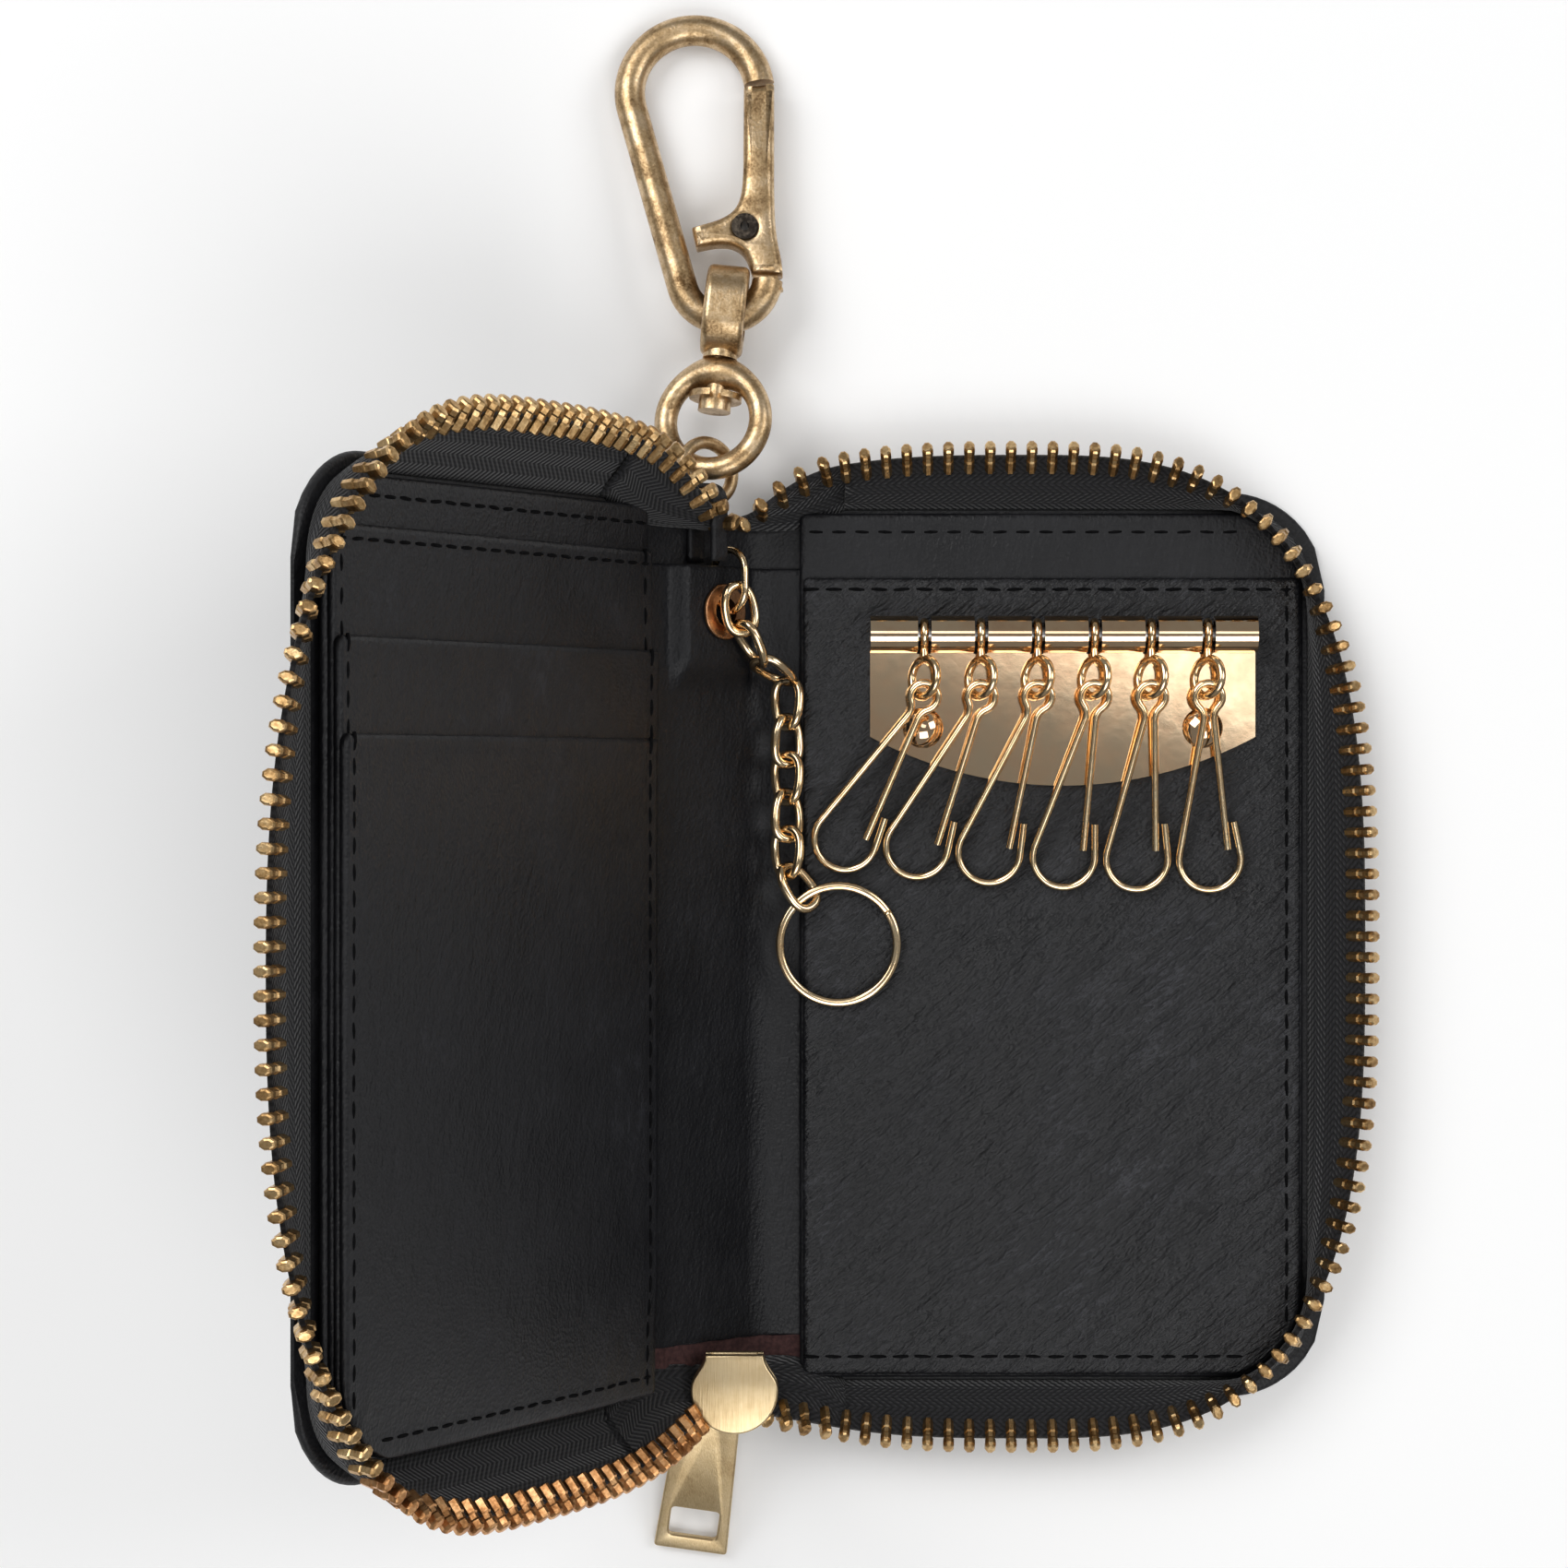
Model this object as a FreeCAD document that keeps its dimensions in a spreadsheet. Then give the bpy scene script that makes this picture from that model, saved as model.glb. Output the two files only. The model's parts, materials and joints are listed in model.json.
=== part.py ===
"""Zip-around leather key case, lying open on its back page, as an assembly of separate pieces.

Millimetres. The origin is the centre of the back cover's outer face, which lies on the floor.
+X runs from the spine to the back page's free edge, +Y towards the snap hook, +Z up.
The spine and the front page are modelled flat, in their own frames, and tilted into place.
"""
import FreeCAD, Part
import math
import os
import re
import Sketcher

V = FreeCAD.Vector
Placement = FreeCAD.Placement
Rotation = FreeCAD.Rotation

# Driving dimensions in millimetres, angles in degrees, shares without a unit
SIZES = (
    # Covers, spine and folds
    ("cover_width", 70.5), ("cover_height", 112), ("cover_corner", 12), ("cover_leather", 1.2),
    ("spine_width", 18), ("spine_height", 105), ("fold_gap", 0.3),
    ("spine_tilt", 45), ("front_tilt", 59.5),
    # Boards and linings
    ("board_thickness", 0.8), ("board_inset", 7), ("lining_thickness", 0.8), ("lining_corner", 10),
    ("lining_edge_inset", 2.9), ("lining_end_inset", 2.7), ("lining_fold_inset", 5.5),
    # Pocket panels
    ("pocket_thickness", 0.8), ("pocket_inset", 0.4), ("back_pocket_drop", 8),
    ("card_step_top", 5.5), ("card_step_middle", 17.5), ("card_step_front", 28),
    # Spine panel with its raised mouth, and the eyelet in it
    ("panel_inset", 2), ("panel_wall", 0.8), ("panel_bottom_gap", 4.2), ("panel_top_gap", 6),
    ("mouth_length", 13), ("mouth_rise", 1.8), ("mouth_side", 1.2),
    ("eyelet_hole", 3.5), ("eyelet_flange", 6.8), ("eyelet_lip", 0.4), ("eyelet_wall", 0.4),
    ("eyelet_drop", 5.6), ("eyelet_offset", 8.5), ("washer_thickness", 0.3),
    # Strap loop for the jump ring
    ("strap_width", 2.6), ("strap_leather", 0.8), ("strap_hole", 3.3), ("strap_offset", 11.2),
    ("strap_tail", 5.6), ("strap_reach", 1.5), ("ring_gap", 0.3), ("overrun", 1),
    # Zip tapes and teeth
    ("tape_thickness", 0.6), ("tape_root_inset", 2), ("tape_root_corner", 10),
    ("tape_level", 7.2), ("tape_dip", 4),
    ("zip_spread_back", 4), ("zip_spread_front", 7.5), ("zip_spread_ends_back", 4),
    ("zip_spread_ends_front", 5.5), ("zip_reach_fold", 57), ("zip_power", 3), ("zip_centre", 33.25),
    ("zip_stop", 11), ("zip_end_stop", 2.6), ("tooth_seat", 0.1),
    ("tooth_pitch", 2.54), ("tooth_width", 1.3), ("tooth_depth", 2.4), ("tooth_height", 1.8),
    # Slider and pull tab
    ("slider_neck", 7), ("slider_width", 10.6), ("slider_length", 9.6), ("slider_plate", 1),
    ("slider_throat", 1.9), ("slider_post", 2.4), ("slider_past_fold", 2.45), ("slider_past_end", 1.4),
    ("slider_seat", 0.3), ("bridge_wire", 1.2), ("bridge_span", 3.2), ("bridge_drop", 1.9),
    ("bridge_offset", 0.9), ("bridge_shift", -2.8), ("tail_length", 4),
    ("pull_top_width", 7.4), ("pull_width", 9.1), ("pull_length", 21.8), ("pull_thickness", 1),
    ("pull_window_width", 6), ("pull_window_length", 4), ("pull_rim", 1.9), ("pull_lean", 8),
    ("pull_slot_width", 2.4), ("pull_eye_rim", 1.2),
    # Jump ring and swivel
    ("jump_radius", 3.6), ("jump_wire", 1.6), ("jump_roll", 35),
    ("swivel_radius", 6), ("swivel_wire", 2.8), ("swivel_roll", 15), ("swivel_turn", 6),
    ("swivel_offset", 6.4), ("boss_width", 8.4), ("boss_length", 3.8), ("boss_height", 4.4),
    ("boss_drop", 0.5), ("boss_round", 0.8),
    ("stem_diameter", 2.6), ("stem_gap", 0.05), ("stem_end_diameter", 4), ("stem_end", 1.4),
    ("clip_diameter", 6.4), ("clip_thickness", 0.8), ("clip_seat", 0.3),
    ("eye_width", 5.1), ("eye_radius", 4.7), ("eye_hole", 2.6), ("eye_stretch", 1.9),
    ("eye_distance", 19.2), ("eye_round", 0.8), ("neck_diameter", 4.2),
    # Snap hook
    ("hook_bar", 3.75), ("hook_top_radius", 8), ("hook_bottom_radius", 5.3),
    ("hook_top_x", -3.7), ("hook_top_y", 28.6), ("hook_nose_angle", 8), ("hook_heel_angle", -6),
    ("gate_gap", 0.5), ("gate_pivot_x", 2.5), ("gate_pivot_y", 11.1), ("gate_boss", 3.4),
    ("gate_spur_x", -3.5), ("gate_spur_y", 10), ("gate_spur_bar", 3.2), ("gate_slot", 1.6),
    ("gate_slot_depth", 2.8), ("gate_slot_end", 2), ("gate_leg_angle", 65), ("gate_shoulder", 1.3),
    ("tongue_thickness", 1.2), ("tongue_width", 2.6), ("tongue_end", 1.6),
    ("rivet_diameter", 2), ("rivet_head", 3.2), ("rivet_head_height", 0.3), ("rivet_bore", 1.1),
    ("rivet_gap", 0.04), ("spring_leaf", 0.25), ("spring_seat", 0.3), ("floor_gap", 0.05),
    # Key row
    ("plate_centre", 2.6), ("plate_width", 47.4), ("plate_thickness", 0.6), ("plate_side", 12.6),
    ("plate_belly", 6), ("barrel_y", 38.3), ("barrel_diameter", 4.5), ("barrel_wall", 0.6),
    ("slot_width", 1.65), ("slot_first", 6.6), ("slot_pitch", 6.95), ("rod_diameter", 1.7), ("rod_end", 0.8),
    ("plate_rivet_dome", 5), ("plate_rivet_height", 1.2), ("plate_rivet_shank", 2),
    ("plate_rivet_inset", 6.5), ("plate_rivet_drop", 11.5),
    ("loop_wire", 1), ("loop_gap", 0.15), ("loop_length", 5.4), ("loop_eye", 2.3),
    ("loop_roll", 50), ("loop_rise", 9),
    ("key_wire", 0.9), ("key_head", 1.7), ("key_bend", 3.8), ("key_length", 20.1), ("key_seat", 0.1),
    ("key_neck", 2), ("key_eye_angle", 45), ("key_latch", 18.9),
    ("key_latch_side", 2.2), ("key_tip", 4), ("key_rest_gap", 0.2),
    # Chain and split ring
    ("link_wire", 0.9), ("link_length", 6.8), ("link_width", 4.1), ("link_pitch", 4.6),
    ("link_roll", 45), ("link_roll_one", 20), ("link_roll_two", 60),
    ("link_bend_one", 15), ("link_bend_two", 35), ("first_link_shift", 0.5),
    ("first_link_rise", 3.1), ("kink_angle", 9), ("chain_rise", 1), ("chain_from_fold", 3.95), ("ring_turn", 55),
    ("anchor_length", 8.4), ("anchor_width", 6.4), ("ring_radius", 7.2), ("ring_wire", 1),
    ("ring_rest_gap", 0.15), ("ring_slack", 0.55),
)

doc = FreeCAD.newDocument("key_case")
sheet = doc.addObject("Spreadsheet::Sheet", "sizes")
for row, (alias, value) in enumerate(SIZES, start=1):
    sheet.set("A%d" % row, alias)
    sheet.set("B%d" % row, str(value))
    sheet.setAlias("B%d" % row, alias)
doc.recompute()
size = {alias: float(sheet.get(alias)) for alias, _ in SIZES}
nodes = []


def cell(text):
    """Turn an expression written in plain aliases into one that reads the sheet."""
    return re.sub(r"[a-z]\w*", lambda word: "sizes." + word[0] if word[0] in size else word[0], text)


def bind(item, **expressions):
    """Bind properties to the sheet; a double underscore in a name stands for a dot."""
    for name, text in expressions.items():
        item.setExpression(name.replace("__", "."), cell(text))


def keep(item, name):
    """Mark an object of the document as a finished sub-part."""
    item.Label = name
    nodes.append(item)
    return item


def solid(name, shape, placement=None):
    """Hold a shape that was worked out from the sheet as a sub-part."""
    item = doc.addObject("Part::Feature", name)
    item.Shape = shape
    if placement:
        item.Placement = placement
    return keep(item, name)


# Frames of the spine and the front page
def spine_frame(item):
    """Tilt an object about the fold between the back page and the spine."""
    item.Placement = Placement(V(), Rotation(V(0, 1, 0), size["spine_tilt"]))
    bind(item, Placement__Rotation__Angle="spine_tilt", Placement__Base__x="-1 * cover_width / 2",
         Placement__Base__z="cover_leather / 2")


def front_frame(item):
    """Tilt an object about the fold between the spine and the front page."""
    item.Placement = Placement(V(), Rotation(V(0, 1, 0), size["front_tilt"]))
    bind(item, Placement__Rotation__Angle="front_tilt",
         Placement__Base__x="-1 * cover_width / 2 - spine_width * cos( spine_tilt )",
         Placement__Base__z="cover_leather / 2 + spine_width * sin( spine_tilt )")


def back_frame(item):
    """Leave an object in the frame of the back page, which is the part's own."""
    item.Placement = Placement()


back_fold = V(-size["cover_width"] / 2, 0, size["cover_leather"] / 2)
spine_place = Placement(back_fold, Rotation(V(0, 1, 0), size["spine_tilt"]))
front_fold = spine_place.multVec(V(-size["spine_width"], 0, 0))
front_place = Placement(front_fold, Rotation(V(0, 1, 0), size["front_tilt"]))


def origin_plane(body, role):
    """Find one of a body's own origin planes."""
    return next(item for item in body.Origin.OriginFeatures if item.Role == role)


def rectangle(sketch, width, height):
    """Draw a rectangle from the sketch's origin with its two lengths bound to the sheet."""
    corners = (V(), V(1, 0, 0), V(1, 1, 0), V(0, 1, 0))
    for index in range(4):
        sketch.addGeometry(Part.LineSegment(corners[index], corners[(index + 1) % 4]), False)
    for index in range(4):
        sketch.addConstraint(Sketcher.Constraint("Coincident", index, 2, (index + 1) % 4, 1))
    for kind, line in (("Horizontal", 0), ("Vertical", 1), ("Horizontal", 2), ("Vertical", 3)):
        sketch.addConstraint(Sketcher.Constraint(kind, line))
    sketch.addConstraint(Sketcher.Constraint("Coincident", 0, 1, -1, 1))
    for name, line, kind in ((width, 0, "DistanceX"), (height, 1, "DistanceY")):
        number = sketch.addConstraint(Sketcher.Constraint(kind, line, 1, line, 2, 1))
        sketch.setExpression("Constraints[%d]" % number, cell(name))


def round_hole(sketch, across, along, diameter):
    """Draw a circle in a sketch, with its place and diameter bound to the sheet."""
    circle = sketch.addGeometry(Part.Circle(V(1, 1, 0), V(0, 0, 1), 1), False)
    for kind, text in (("DistanceX", across), ("DistanceY", along)):
        number = sketch.addConstraint(Sketcher.Constraint(kind, -1, 1, circle, 3, 1))
        sketch.setExpression("Constraints[%d]" % number, cell(text))
    number = sketch.addConstraint(Sketcher.Constraint("Diameter", circle, 1))
    sketch.setExpression("Constraints[%d]" % number, cell(diameter))


def panel(name, frame, left, bottom, level, width, height, thickness, corner=None, free_side=0, holes=()):
    """Build a flat panel, with the corners on its free side (or all of them) rounded."""
    body = doc.addObject("PartDesign::Body", name)
    sketch = body.newObject("Sketcher::SketchObject", name + "_outline")
    sketch.AttachmentSupport = [(origin_plane(body, "XY_Plane"), "")]
    sketch.MapMode = "FlatFace"
    rectangle(sketch, width, height)
    for across, along, diameter in holes:
        round_hole(sketch, across, along, diameter)
    bind(sketch, AttachmentOffset__Base__x=left, AttachmentOffset__Base__y=bottom,
         AttachmentOffset__Base__z=level)
    pad = body.newObject("PartDesign::Pad", name + "_pad")
    pad.Profile = sketch
    bind(pad, Length=thickness)
    doc.recompute()
    if corner:
        middle = pad.Shape.BoundBox.Center.x
        edges = []
        for number, edge in enumerate(pad.Shape.Edges, start=1):
            upright = abs(edge.tangentAt(edge.FirstParameter).z) > math.cos(math.radians(45))
            straight = edge.Curve.TypeId == "Part::GeomLine"
            outer = (edge.CenterOfMass.x - middle) * free_side >= 0
            if upright and straight and outer and len(edge.Vertexes) == 2:
                edges.append("Edge%d" % number)
        fillet = body.newObject("PartDesign::Fillet", name + "_corners")
        fillet.Base = (pad, edges)
        bind(fillet, Radius=corner)
    frame(body)
    return keep(body, name)


# Back page
FOLD = "( cover_leather / 2 + fold_gap )"
panel("back_cover", back_frame, "-1 * cover_width / 2 + " + FOLD, "-1 * cover_height / 2", "0",
      "cover_width - " + FOLD, "cover_height", "cover_leather", "cover_corner", 1)
panel("back_board", back_frame, "-1 * cover_width / 2 + board_inset", "-1 * cover_height / 2 + board_inset",
      "cover_leather", "cover_width - 2 * board_inset", "cover_height - 2 * board_inset", "board_thickness",
      "lining_corner")
LINING_WIDTH = "cover_width - lining_fold_inset - lining_edge_inset"
LINING_HEIGHT = "cover_height - 2 * lining_end_inset"
panel("back_lining", back_frame, "-1 * cover_width / 2 + lining_fold_inset",
      "-1 * cover_height / 2 + lining_end_inset", "cover_leather + board_thickness",
      LINING_WIDTH, LINING_HEIGHT, "lining_thickness", "lining_corner", 1)
RIVET_Y = "barrel_y - plate_rivet_drop"
POCKET_LEFT = "( -1 * cover_width / 2 + lining_fold_inset + pocket_inset )"
POCKET_BOTTOM = "( -1 * cover_height / 2 + lining_end_inset + pocket_inset )"
RIVET_REACH = "( plate_width / 2 - plate_rivet_inset )"
rivet_places = ("plate_centre - " + RIVET_REACH, "plate_centre + " + RIVET_REACH)
panel("back_pocket", back_frame, POCKET_LEFT, POCKET_BOTTOM,
      "cover_leather + board_thickness + lining_thickness", LINING_WIDTH + " - 2 * pocket_inset",
      LINING_HEIGHT + " - pocket_inset - back_pocket_drop", "pocket_thickness", "lining_corner", 1,
      holes=[(place + " - " + POCKET_LEFT, RIVET_Y + " - " + POCKET_BOTTOM, "plate_rivet_shank")
             for place in rivet_places])
page_top = sum(size[layer] for layer in ("cover_leather", "board_thickness", "lining_thickness",
                                         "pocket_thickness"))

# Front page, whose inner face is +Z in its own frame and whose free edge is at -X
panel("front_cover", front_frame, "-1 * cover_width", "-1 * cover_height / 2", "-1 * cover_leather / 2",
      "cover_width - " + FOLD, "cover_height", "cover_leather", "cover_corner", -1)
panel("front_board", front_frame, "-1 * cover_width + board_inset", "-1 * cover_height / 2 + board_inset",
      "cover_leather / 2", "cover_width - 2 * board_inset", "cover_height - 2 * board_inset",
      "board_thickness", "lining_corner")
panel("front_lining", front_frame, "-1 * cover_width + lining_edge_inset",
      "-1 * cover_height / 2 + lining_end_inset", "cover_leather / 2 + board_thickness",
      LINING_WIDTH, LINING_HEIGHT, "lining_thickness", "lining_corner", -1)
for layer, step in enumerate(("card_step_top", "card_step_middle", "card_step_front")):
    panel(step.replace("card_step", "card_pocket"), front_frame,
          "-1 * cover_width + lining_edge_inset + pocket_inset", POCKET_BOTTOM,
          "cover_leather / 2 + board_thickness + lining_thickness + %d * pocket_thickness" % layer,
          LINING_WIDTH + " - 2 * pocket_inset", LINING_HEIGHT + " - pocket_inset - " + step,
          "pocket_thickness", "lining_corner", -1)

# Spine leather, with a round edge on each fold axis
spine_sheet = doc.addObject("Part::Box", "spine_sheet")
bind(spine_sheet, Length="spine_width", Width="spine_height", Height="cover_leather",
     Placement__Base__x="-1 * spine_width", Placement__Base__y="-1 * spine_height / 2",
     Placement__Base__z="-1 * cover_leather / 2")
spine_pieces = [spine_sheet]
for fold, place in (("back_fold_edge", "0"), ("front_fold_edge", "-1 * spine_width")):
    edge = doc.addObject("Part::Cylinder", fold)
    edge.Placement = Placement(V(), Rotation(V(1, 0, 0), -90))
    bind(edge, Radius="cover_leather / 2", Height="spine_height", Placement__Base__x=place,
         Placement__Base__y="-1 * spine_height / 2")
    spine_pieces.append(edge)
spine = doc.addObject("Part::MultiFuse", "spine_cover")
spine.Shapes = spine_pieces
spine_frame(spine)
keep(spine, "spine_cover")

# Spine panel: flat lining with a raised mouth at its top, which the chain's anchor link goes into
PANEL_BOTTOM = "( -1 * spine_height / 2 + panel_bottom_gap )"
PANEL_TOP = "( spine_height / 2 - panel_top_gap )"


def block(name, left, bottom, level, length, width, height):
    """Add a box whose corner and lengths are bound to the sheet."""
    item = doc.addObject("Part::Box", name)
    bind(item, Length=length, Width=width, Height=height, Placement__Base__x=left,
         Placement__Base__y=bottom, Placement__Base__z=level)
    return item


panel_flat = block("panel_flat", "-1 * spine_width + panel_inset", PANEL_BOTTOM, "cover_leather / 2",
                   "spine_width - 2 * panel_inset", PANEL_TOP + " - mouth_length - " + PANEL_BOTTOM,
                   "panel_wall")
panel_mouth = block("panel_mouth", "-1 * spine_width + panel_inset", PANEL_TOP + " - mouth_length",
                    "cover_leather / 2", "spine_width - 2 * panel_inset", "mouth_length",
                    "mouth_rise + panel_wall")
panel_blank = doc.addObject("Part::MultiFuse", "panel_blank")
panel_blank.Shapes = [panel_flat, panel_mouth]
mouth_space = block("mouth_space", "-1 * spine_width + panel_inset + mouth_side",
                    PANEL_TOP + " - mouth_length + mouth_side", "cover_leather / 2 - overrun",
                    "spine_width - 2 * panel_inset - 2 * mouth_side", "mouth_length", "mouth_rise + overrun")
eyelet_bore = doc.addObject("Part::Cylinder", "eyelet_bore")
bind(eyelet_bore, Radius="eyelet_hole / 2 + eyelet_wall", Height="mouth_rise + panel_wall + 2 * overrun",
     Placement__Base__x="-1 * eyelet_offset", Placement__Base__y=PANEL_TOP + " - eyelet_drop",
     Placement__Base__z="cover_leather / 2")
mouth_cuts = doc.addObject("Part::MultiFuse", "mouth_cuts")
mouth_cuts.Shapes = [mouth_space, eyelet_bore]
spine_panel = doc.addObject("Part::Cut", "spine_panel")
spine_panel.Base = panel_blank
spine_panel.Tool = mouth_cuts
spine_frame(spine_panel)
keep(spine_panel, "spine_panel")

# Eyelet through the raised mouth, with its washer behind
panel_top_y = size["spine_height"] / 2 - size["panel_top_gap"]
mouth_inside = size["cover_leather"] / 2 + size["mouth_rise"]
mouth_top = mouth_inside + size["panel_wall"]
eyelet_y = panel_top_y - size["eyelet_drop"]
eyelet_place = spine_place.multiply(Placement(V(-size["eyelet_offset"], eyelet_y, 0), Rotation()))
tube_radius = size["eyelet_hole"] / 2 + size["eyelet_wall"]


def disc(radius, low, high):
    """Make an upright cylinder about the local Z axis between two levels."""
    return Part.makeCylinder(radius, high - low, V(0, 0, low))


eyelet_low = mouth_inside - size["washer_thickness"]
eyelet = disc(size["eyelet_flange"] / 2, mouth_top, mouth_top + size["eyelet_lip"])
eyelet = eyelet.makeFillet(size["eyelet_lip"] / 2, [eyelet.Edges[0]])
eyelet = eyelet.fuse(disc(tube_radius, eyelet_low, mouth_top))
eyelet_hole = disc(size["eyelet_hole"] / 2, eyelet_low - size["overrun"], mouth_top + size["overrun"])
solid("eyelet", eyelet.cut(eyelet_hole), eyelet_place)
washer = disc(size["eyelet_flange"] / 2, eyelet_low, mouth_inside)
solid("eyelet_washer", washer.cut(disc(tube_radius, eyelet_low, mouth_inside)), eyelet_place)

# Strap loop sewn at the top of the spine, folded round the jump ring
strap_axis_y = size["spine_height"] / 2 + size["strap_reach"]
strap_outer = size["strap_hole"] / 2 + size["strap_leather"]
strap_level = size["cover_leather"] / 2 + strap_outer


def strap_bar(radius, start, width):
    """Make a bar with one round end, across the strap, from a start level to the loop's fold."""
    run = Part.makeBox(width, strap_axis_y - start, 2 * radius, V(-width / 2, start, -radius))
    end = Part.makeCylinder(radius, width, V(-width / 2, strap_axis_y, 0), V(1, 0, 0))
    return run.fuse(end).removeSplitter()


strap_start = size["spine_height"] / 2 - size["strap_tail"]
strap = strap_bar(strap_outer, strap_start, size["strap_width"])
strap_gap = strap_bar(size["strap_hole"] / 2, strap_start + size["strap_leather"],
                      size["strap_width"] + 2 * size["overrun"])
solid("strap_loop", strap.cut(strap_gap),
      spine_place.multiply(Placement(V(-size["strap_offset"], 0, strap_level), Rotation())))

# Zip tapes: each rises from a root line sewn along the cover to a wider bowed line of teeth
# A page's plan runs from its fold (u = 0) to its free edge, with v along the spine
SAMPLES = 400
TAPE_POINTS = 41
END_POINTS = 9


class Zip:
    """One page's half of the zip: its bowed path and its frame."""

    def __init__(self, spread_free, spread_ends, dip, face_level, top_level, frame):
        self.reach_free = size["cover_width"] - size["zip_centre"] + spread_free
        self.reach_ends = size["cover_height"] / 2 + spread_ends
        self.dip = dip
        self.face_level = face_level
        self.top_level = top_level
        self.frame = frame

    def at(self, angle):
        """Give the point of the bowed path at an angle, with 0 at the free edge."""
        across = abs(math.cos(angle)) ** (2 / size["zip_power"])
        along = abs(math.sin(angle)) ** (2 / size["zip_power"])
        reach = self.reach_free if math.cos(angle) > 0 else -size["zip_reach_fold"]
        return V(size["zip_centre"] + reach * across, math.copysign(self.reach_ends * along, angle))

    def angle_at(self, distance):
        """Give the angle at which the path stands a distance from the fold."""
        share = (size["zip_centre"] - distance) / size["zip_reach_fold"]
        return math.acos(-share ** (size["zip_power"] / 2))

    def spaced(self, first, last, step=None, count=None):
        """Give points evenly spaced along the path between two angles."""
        angles = [first + (last - first) * number / SAMPLES for number in range(SAMPLES + 1)]
        dense = [self.at(angle) for angle in angles]
        reached = [0]
        for before, after in zip(dense, dense[1:]):
            reached.append(reached[-1] + (after - before).Length)
        count = count or int(reached[-1] / step) + 1
        points = []
        for number in range(count):
            goal = reached[-1] * number / (count - 1)
            index = next(i for i in range(1, len(reached)) if reached[i] >= goal or i == SAMPLES)
            part = (goal - reached[index - 1]) / (reached[index] - reached[index - 1])
            points.append(dense[index - 1] + (dense[index] - dense[index - 1]) * part)
        return points

    def outward(self, point):
        """Give a path point's nearest place on the root line's core, and the way out from it."""
        inset = size["tape_root_inset"] + size["tape_root_corner"]
        limit = size["cover_height"] / 2 - inset
        core = V(min(point.x, size["cover_width"] - inset), max(-limit, min(limit, point.y)))
        return core, (point - core).normalize()

    def level(self, point):
        """Give the height of the tape's top edge, which dips along the free edge."""
        share = max(0, (point.x - size["zip_centre"]) / self.reach_free) ** 3
        return self.top_level - self.dip * share * (1 - (point.y / self.reach_ends) ** 2)

    def place(self, point, level):
        """Turn a plan point and a height into the page's own frame."""
        return self.frame(point, level)

    def ribbon(self, points):
        """Make the tape along some of the path's points as one closed wall."""
        rails = ([], [], [], [])
        for point in points:
            core, way = self.outward(point)
            root = core + way * size["tape_root_corner"]
            rails[0].append(self.place(root, self.face_level))
            rails[1].append(self.place(point, self.level(point)))
            rails[2].append(self.place(point - way * size["tape_thickness"], self.level(point)))
            rails[3].append(self.place(root - way * size["tape_thickness"], self.face_level))
        curves = []
        for rail in rails:
            curve = Part.BSplineCurve()
            curve.interpolate(rail)
            curves.append(curve.toShape())
        faces = [Part.makeRuledSurface(curves[i], curves[(i + 1) % 4]) for i in range(4)]
        for end in (0, -1):
            corners = [rail[end] for rail in rails]
            faces.append(Part.Face(Part.makePolygon(corners + corners[:1])))
        shell = Part.makeShell(faces)
        shell.sewShape()
        wall = Part.Solid(shell)
        if wall.Volume < 0:
            wall.reverse()
        return wall

    def teeth(self, points):
        """Make one tooth astride the tape's top edge at each point."""
        row = []
        for before, point, after in zip(points, points[1:], points[2:]):
            middle = point - self.outward(point)[1] * (size["tape_thickness"] / 2)
            along = self.place(after, 0) - self.place(before, 0)
            up = self.place(point, 1) - self.place(point, 0)
            tooth = Part.makeBox(size["tooth_width"], size["tooth_depth"], size["tooth_height"],
                                 V(-size["tooth_width"] / 2, -size["tooth_depth"] / 2, 0))
            tooth.Placement = Placement(self.place(middle, self.highest(point)),
                                        Rotation(along, V(), up, "ZXY"))
            row.append(tooth)
        return Part.makeCompound(row)

    def highest(self, point):
        """Give the tape's level under a tooth, with room for the slope of a dipping edge."""
        return self.level(point) + size["tooth_seat"]


back_zip = Zip(size["zip_spread_back"], size["zip_spread_ends_back"], 0, size["cover_leather"],
               size["tape_level"], lambda point, level: V(point.x - size["cover_width"] / 2, point.y, level))
front_zip = Zip(size["zip_spread_front"], size["zip_spread_ends_front"], size["tape_dip"],
                size["cover_leather"] / 2, size["tape_level"] - size["cover_leather"] / 2,
                lambda point, level: V(-point.x, point.y, level))
for page, half, place in (("back", back_zip, Placement()), ("front", front_zip, front_place)):
    start = half.angle_at(size["zip_stop"])
    finish = half.angle_at(size["zip_end_stop"])
    solid("zip_tape_" + page, half.ribbon(half.spaced(start, -start, count=TAPE_POINTS)), place)
    solid("zip_teeth_" + page, half.teeth(half.spaced(start, -start, step=size["tooth_pitch"])), place)
    ends = [half.ribbon(half.spaced(side * finish, side * start, count=END_POINTS)) for side in (1, -1)]
    solid("zip_tape_ends_" + page, Part.makeCompound(ends), place)

# Folded tape end between the spine leather and the slider
spine_lean = math.radians(size["spine_tilt"])


def spine_face_level(across):
    """Give the height of the spine leather's inner face above a place on the floor."""
    skin = size["cover_leather"] / 2
    run = (skin * math.sin(spine_lean) - (across - back_fold.x)) / math.cos(spine_lean)
    return back_fold.z + run * math.sin(spine_lean) + skin * math.cos(spine_lean)


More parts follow.
